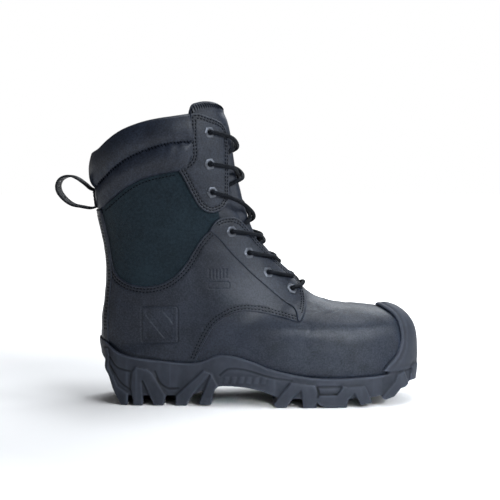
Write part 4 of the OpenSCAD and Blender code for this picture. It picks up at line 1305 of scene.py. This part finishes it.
def build_pull_loop():
    line = smooth(LOOP_LINE, 0.125)
    ahead = unit(np.gradient(line, axis=0))
    out = np.stack([-ahead[:, 1], ahead[:, 0]], -1)
    half, thick, edge = 11.0, 1.0, 0.5
    top = [(y, thick) for y in (-half + edge, *np.linspace(-half + 2, half - 2, 9), half - edge)]
    section = [(-half, 0)] + top + [(half, 0)] + [(y, -h) for y, h in top[::-1]]
    rows, uv = [], []
    centre = float(midline(-130.0))
    for p, s, along in zip(line, out, run_length(line)):
        far = float(ease(-150, -174, p[0]))
        for y, h in section:
            selvedge = 0.08 * math.cos(y * math.pi / 1.6) if abs(y) < 9.6 else 0
            x, z = p + s * (h * (1 + selvedge) + far * y * 0.07)
            rows.append((x, centre + y + far * 0.8, z))
            uv.append((along, y + (30 if h < 0 else 0)))
    rows = np.array(rows).reshape(len(line), -1, 3)
    obj = loft("pull_loop_webbing", rows, WEBBING, uv)
    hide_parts("pull_loop")
    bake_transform(obj)
    # The patch that it is sewn on with
    corners = ((203.0, -11), (203.0, 0), (203.0, 11), (186.0, 11), (186.0, 0), (186.0, -11))
    loop = [[station(np.array([-133.5, z])), w] for z, w in corners]
    patch, *cut = panel("loop_anchor_webbing", BACK_CHART, loop, WEBBING, 3.0, 1.8,
                        grid=2.2, detail=wrinkles(0.2, 8))
    piece(patch, ["loop_anchor"])
    everywhere = lambda p: p[:, 0] < 0
    stitch_rows("loop_anchor_stitching", row_along(BACK_CHART, *cut, 2.2, everywhere, 2.95))


# ---------- sole ----------
WINDOW = [[75.4, 19.5], [98.6, 19.5], [93.9, 12.6], [77.4, 12.6], [75.4, 19.5]]
SOLE_LINES = [
    smooth(WINDOW, 1), smooth([[-121.8, 44], [-114.3, 35.7], [-106, 33], [-101, 32]]),
    smooth([[-119.9, 35.9], [-110.9, 21.4], [-101, 14.6]]),
    smooth([[-77.5, 32], [-76.2, 29.1], [-72.9, 21.3], [-65, 15.9], [-55, 16.2]]),
    smooth([[-15.8, 29.1], [-11, 33.6], [-5.7, 35.8], [8.9, 34.7], [31.3, 28.2], [52, 25.2]])]


def dense_line(line):
    along = run_length(line)
    return at_length(np.arange(0, along[-1], 0.4), along, line)


def modified(obj, kind, **values):
    """The object with one modifier applied."""
    modifier = obj.modifiers.new(kind, kind)
    for key, value in values.items():
        setattr(modifier, key, value)
    made = bpy.data.meshes.new_from_object(
        obj.evaluated_get(bpy.context.evaluated_depsgraph_get()))
    obj.modifiers.clear()
    obj.data = made
    return obj


def moulded(name, sources, voxel, smoothing):
    """The sources joined as one mesh, with every edge rounded."""
    obj = bpy.data.objects.new(name, bpy.data.meshes.new(name))
    scene.collection.objects.link(obj)
    with_bmesh(obj, lambda bm: [bm.from_mesh(source.data) for source in sources])
    modified(obj, "REMESH", mode="VOXEL", voxel_size=voxel * MM, adaptivity=0)
    return modified(obj, "SMOOTH", factor=0.5, iterations=smoothing)


def mark_ridges(obj):
    """A mark for the shader, which paints a highlight where it is positive, on ridges, and shade
    where it is negative, in grooves.
    """
    mesh = obj.data
    co, normals = vertex_values(mesh, "co") / MM, vertex_values(mesh, "normal")
    ends = np.zeros(len(mesh.edges) * 2, int)
    mesh.edges.foreach_get("vertices", ends)
    a, b = ends.reshape(-1, 2).T
    count = np.maximum(np.bincount(ends, minlength=len(co)), 1)

    def around(values):
        """The mean over each vertex's neighbours."""
        total = np.zeros_like(values)
        np.add.at(total, a, values[b])
        np.add.at(total, b, values[a])
        return total / (count if values.ndim == 1 else count[:, None])

    bend = ((co - around(co)) * normals).sum(1)
    for _ in range(3):
        bend = 0.5 * bend + 0.5 * around(bend)
    ridge = np.clip(bend / 0.16, -1, 1)
    mesh.attributes.new("ridge", "FLOAT", "POINT").data.foreach_set("value", ridge)


def vertex_values(mesh, what):
    values = np.zeros(len(mesh.vertices) * 3)
    mesh.vertices.foreach_get(what, values)
    return values.reshape(-1, 3)


def build_sole(bumper):
    obj = moulded("outsole_rubber", [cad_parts["outsole"], bumper], 0.85, 5)
    co, normals = vertex_values(obj.data, "co") / MM, vertex_values(obj.data, "normal")
    off = co[:, 1] - midline(co[:, 0])
    # Thin moulded lines on the side walls
    lines = np.concatenate([dense_line(line) for line in SOLE_LINES])
    tree = tree_of(np.column_stack([lines, lines[:, 0] * 0]))
    wall = (np.abs(normals[:, 1]) > 0.35) & (co[:, 2] < 50) & (
        np.abs(off) > foot_hw(co[:, 0]) - 9)
    d = distances(co[wall][:, [0, 2, 1]] * [1, 1, 0], tree)
    co[wall] -= normals[wall] * np.exp(-(d / 0.85) ** 2)[:, None]
    # The tip of the toe, where the two halves of the bumper meet: one even curve
    off = co[:, 1] - midline(co[:, 0])
    x, z = co[:, 0], co[:, 2]
    tip = (x > 163) & (z > 33) & (z < 56) & (normals[:, 0] > 0.2)
    ring = tip & (np.abs(off) > 9) & (np.abs(off) < 22)
    terms = np.stack([off * 0 + 1, off ** 2, off ** 4 / 500, z, z ** 2, z ** 3 / 50], -1)
    curve = terms @ np.linalg.lstsq(terms[ring], x[ring], rcond=None)[0]
    share = (1 - ease(6, 12, np.abs(off))) * ease(33, 37, z) * (1 - ease(50, 56, z))
    co[tip, 0] = mix(x, np.maximum(curve, x), share)[tip]
    # The heel: a lower lip at the back, and a full curve under it
    back = 1 - ease(-128, -112, co[:, 0])
    co[:, 2] -= back * np.maximum(0, co[:, 2] - 52) * 0.3
    co[:, 0] += 1.7 * back * (np.exp(-((co[:, 2] - 46) / 7) ** 2)
                              - np.exp(-((co[:, 2] - 33) / 5) ** 2))
    obj.data.vertices.foreach_set("co", (co * MM).ravel())
    modified(obj, "DECIMATE", ratio=0.45)
    mark_ridges(obj)
    piece(surfaced(obj, SOLE), ["outsole", "toe_bumper"])
    bpy.data.objects.remove(bumper)


# ---------- footbed and lining ----------
def build_footbed():
    obj = moulded("footbed_cushion", [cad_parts["footbed"]], 1.5, 6)
    modified(obj, "DECIMATE", ratio=0.6)
    piece(surfaced(obj, FOOTBED), ["footbed"], "footbed")


def lining_piece(name, chart, q):
    obj, _, _ = panel(name + "_cloth", chart, q, LINING, -4.5, 1.2, profile=((0, -0.3), (0.6, 0)),
                      grid=4.5, detail=wrinkles(0.3, 30, 3), spacing=3.0)
    piece(obj, [name])


def build_lining():
    throat = smooth([[-56, 250], [-50, 225], [-44, 200], [-34, 176], [-16, 150], [6, 129],
                     [25, 114]], 0.5).tolist()
    collar = [[-136.2, 224]] + [[x, z - 16] for x, z in RIM[::-1][1:]] + throat
    collar += [[24.5, 112.5], [0, 112.5], [-60, 112.5], [-124, 112.5]]
    lining_piece("lining_collar", BACK_CHART, whole_loop(BACK_CHART, collar))
    heel = [[-124.5, 111.8], [-60, 111.8], [24.5, 111.8], [24.5, 34], [-20, 38], [-70, 39],
            [-110, 43], [-125.5, 54]]
    lining_piece("lining_heel", BACK_CHART, whole_loop(BACK_CHART, heel))
    half = [[70, 103.5], [66, 92], [52, 94], [30, 110], [26, 112], [26, 34.5], [60, 29], [100, 26],
            [130, 27], [150, 29.5]]
    q = FRONT_CHART.from_side(np.array(half, float))
    q[0, 1] = 0.02
    tip = np.stack([np.full(8, 18.6), np.linspace(q[-1, 1] * 0.9, 0.02, 8)], -1)
    lining_piece("lining_forefoot", FRONT_CHART, mirrored(np.concatenate([q, tip])))


build_vamp()
for name, side in SIDES:
    build_quarter(name, side)
    build_eyestays(name, side)
    build_collar_stitching(name, side, build_side_panel(name, side))
    build_gusset(name, side)
build_backstay()
build_upper_roll()
build_lower_roll()
build_tongue()
build_eyelets("lower", 0, 3)
build_eyelets("upper", 4, 6)
build_lace()
build_pull_loop()
build_lining()
build_sole(build_bumper())
build_footbed()


# ---------- inside pieces kept from the CAD ----------
KEPT = {"midsole": MIDSOLE, "bottom_filler": CORK, "shank": STEEL, "insole_board": BOARD,
        "steel_toe_cap": STEEL, "toe_cap_pad": FOAM, "heel_counter": COUNTER,
        "ankle_padding": FOAM}
for name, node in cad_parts.items():
    node.data.materials.clear()
    node.data.materials.append(KEPT.get(name, LEATHER))


# ---------- floor and light ----------
def build_stage():
    mesh = bpy.data.meshes.new("floor")
    floor = bpy.data.objects.new("floor", mesh)
    with_bmesh(floor, lambda bm: bmesh.ops.create_grid(bm, x_segments=2, y_segments=2, size=6))
    floor.location.z = -0.0004
    scene.collection.objects.link(floor)
    s = Shader("floor", Roughness=0.75, Specular_IOR_Level=0.2, Emission_Color=rgb(1, 1, 1))
    s.colour(s.blend(s.noise(3), rgb(0.95, 0.93, 0.92), rgb(0.97, 0.95, 0.94)))
    away = s.add("VectorMath", out="Value", props={"operation": "LENGTH"}, _0=s.place)
    s.tree.links.new(s.spread(away, 0.3, 1.5), s.bsdf.inputs["Emission Strength"])
    mesh.materials.append(s.material)


def soft_light(name, place, target, size, power, spread=180):
    """A rectangle of cool studio light."""
    light = bpy.data.lights.new(name, "AREA")
    light.shape, light.size, light.size_y = "RECTANGLE", size[0], size[1]
    light.energy, light.color, light.spread = power, (0.90, 0.95, 1.0), math.radians(spread)
    obj = bpy.data.objects.new(name, light)
    obj.location = place
    obj.rotation_euler = (Vector(target) - Vector(place)).to_track_quat("-Z", "Y").to_euler()
    scene.collection.objects.link(obj)


build_stage()
middle = (0.02, 0, 0.14)
soft_light("key", (0.95, -1.2, 1.0), middle, (0.8, 0.6), 21)
soft_light("top", (0.3, 0.1, 1.6), middle, (0.9, 0.5), 16)
soft_light("rim", (0.5, 1.1, 1.0), middle, (1.3, 0.8), 14)
soft_light("front", (1.5, -0.4, 0.8), middle, (0.7, 0.8), 9)
soft_light("low", (0.3, -0.9, 0.35), (0.10, -0.05, 0.06), (0.25, 0.15), 0.13, 18)
world = bpy.data.worlds.new("studio")
scene.world = world
world.use_nodes = True
sky = world.node_tree.nodes["Background"]
sky.inputs["Color"].default_value = rgb(1, 1, 1)
paths = world.node_tree.nodes.new("ShaderNodeLightPath")
shown = world.node_tree.nodes.new("ShaderNodeMapRange")
shown.inputs["To Min"].default_value, shown.inputs["To Max"].default_value = 0.10, 1.0
world.node_tree.links.new(paths.outputs["Is Camera Ray"], shown.inputs["Value"])
world.node_tree.links.new(shown.outputs[0], sky.inputs["Strength"])
scene.view_settings.view_transform = "Standard"
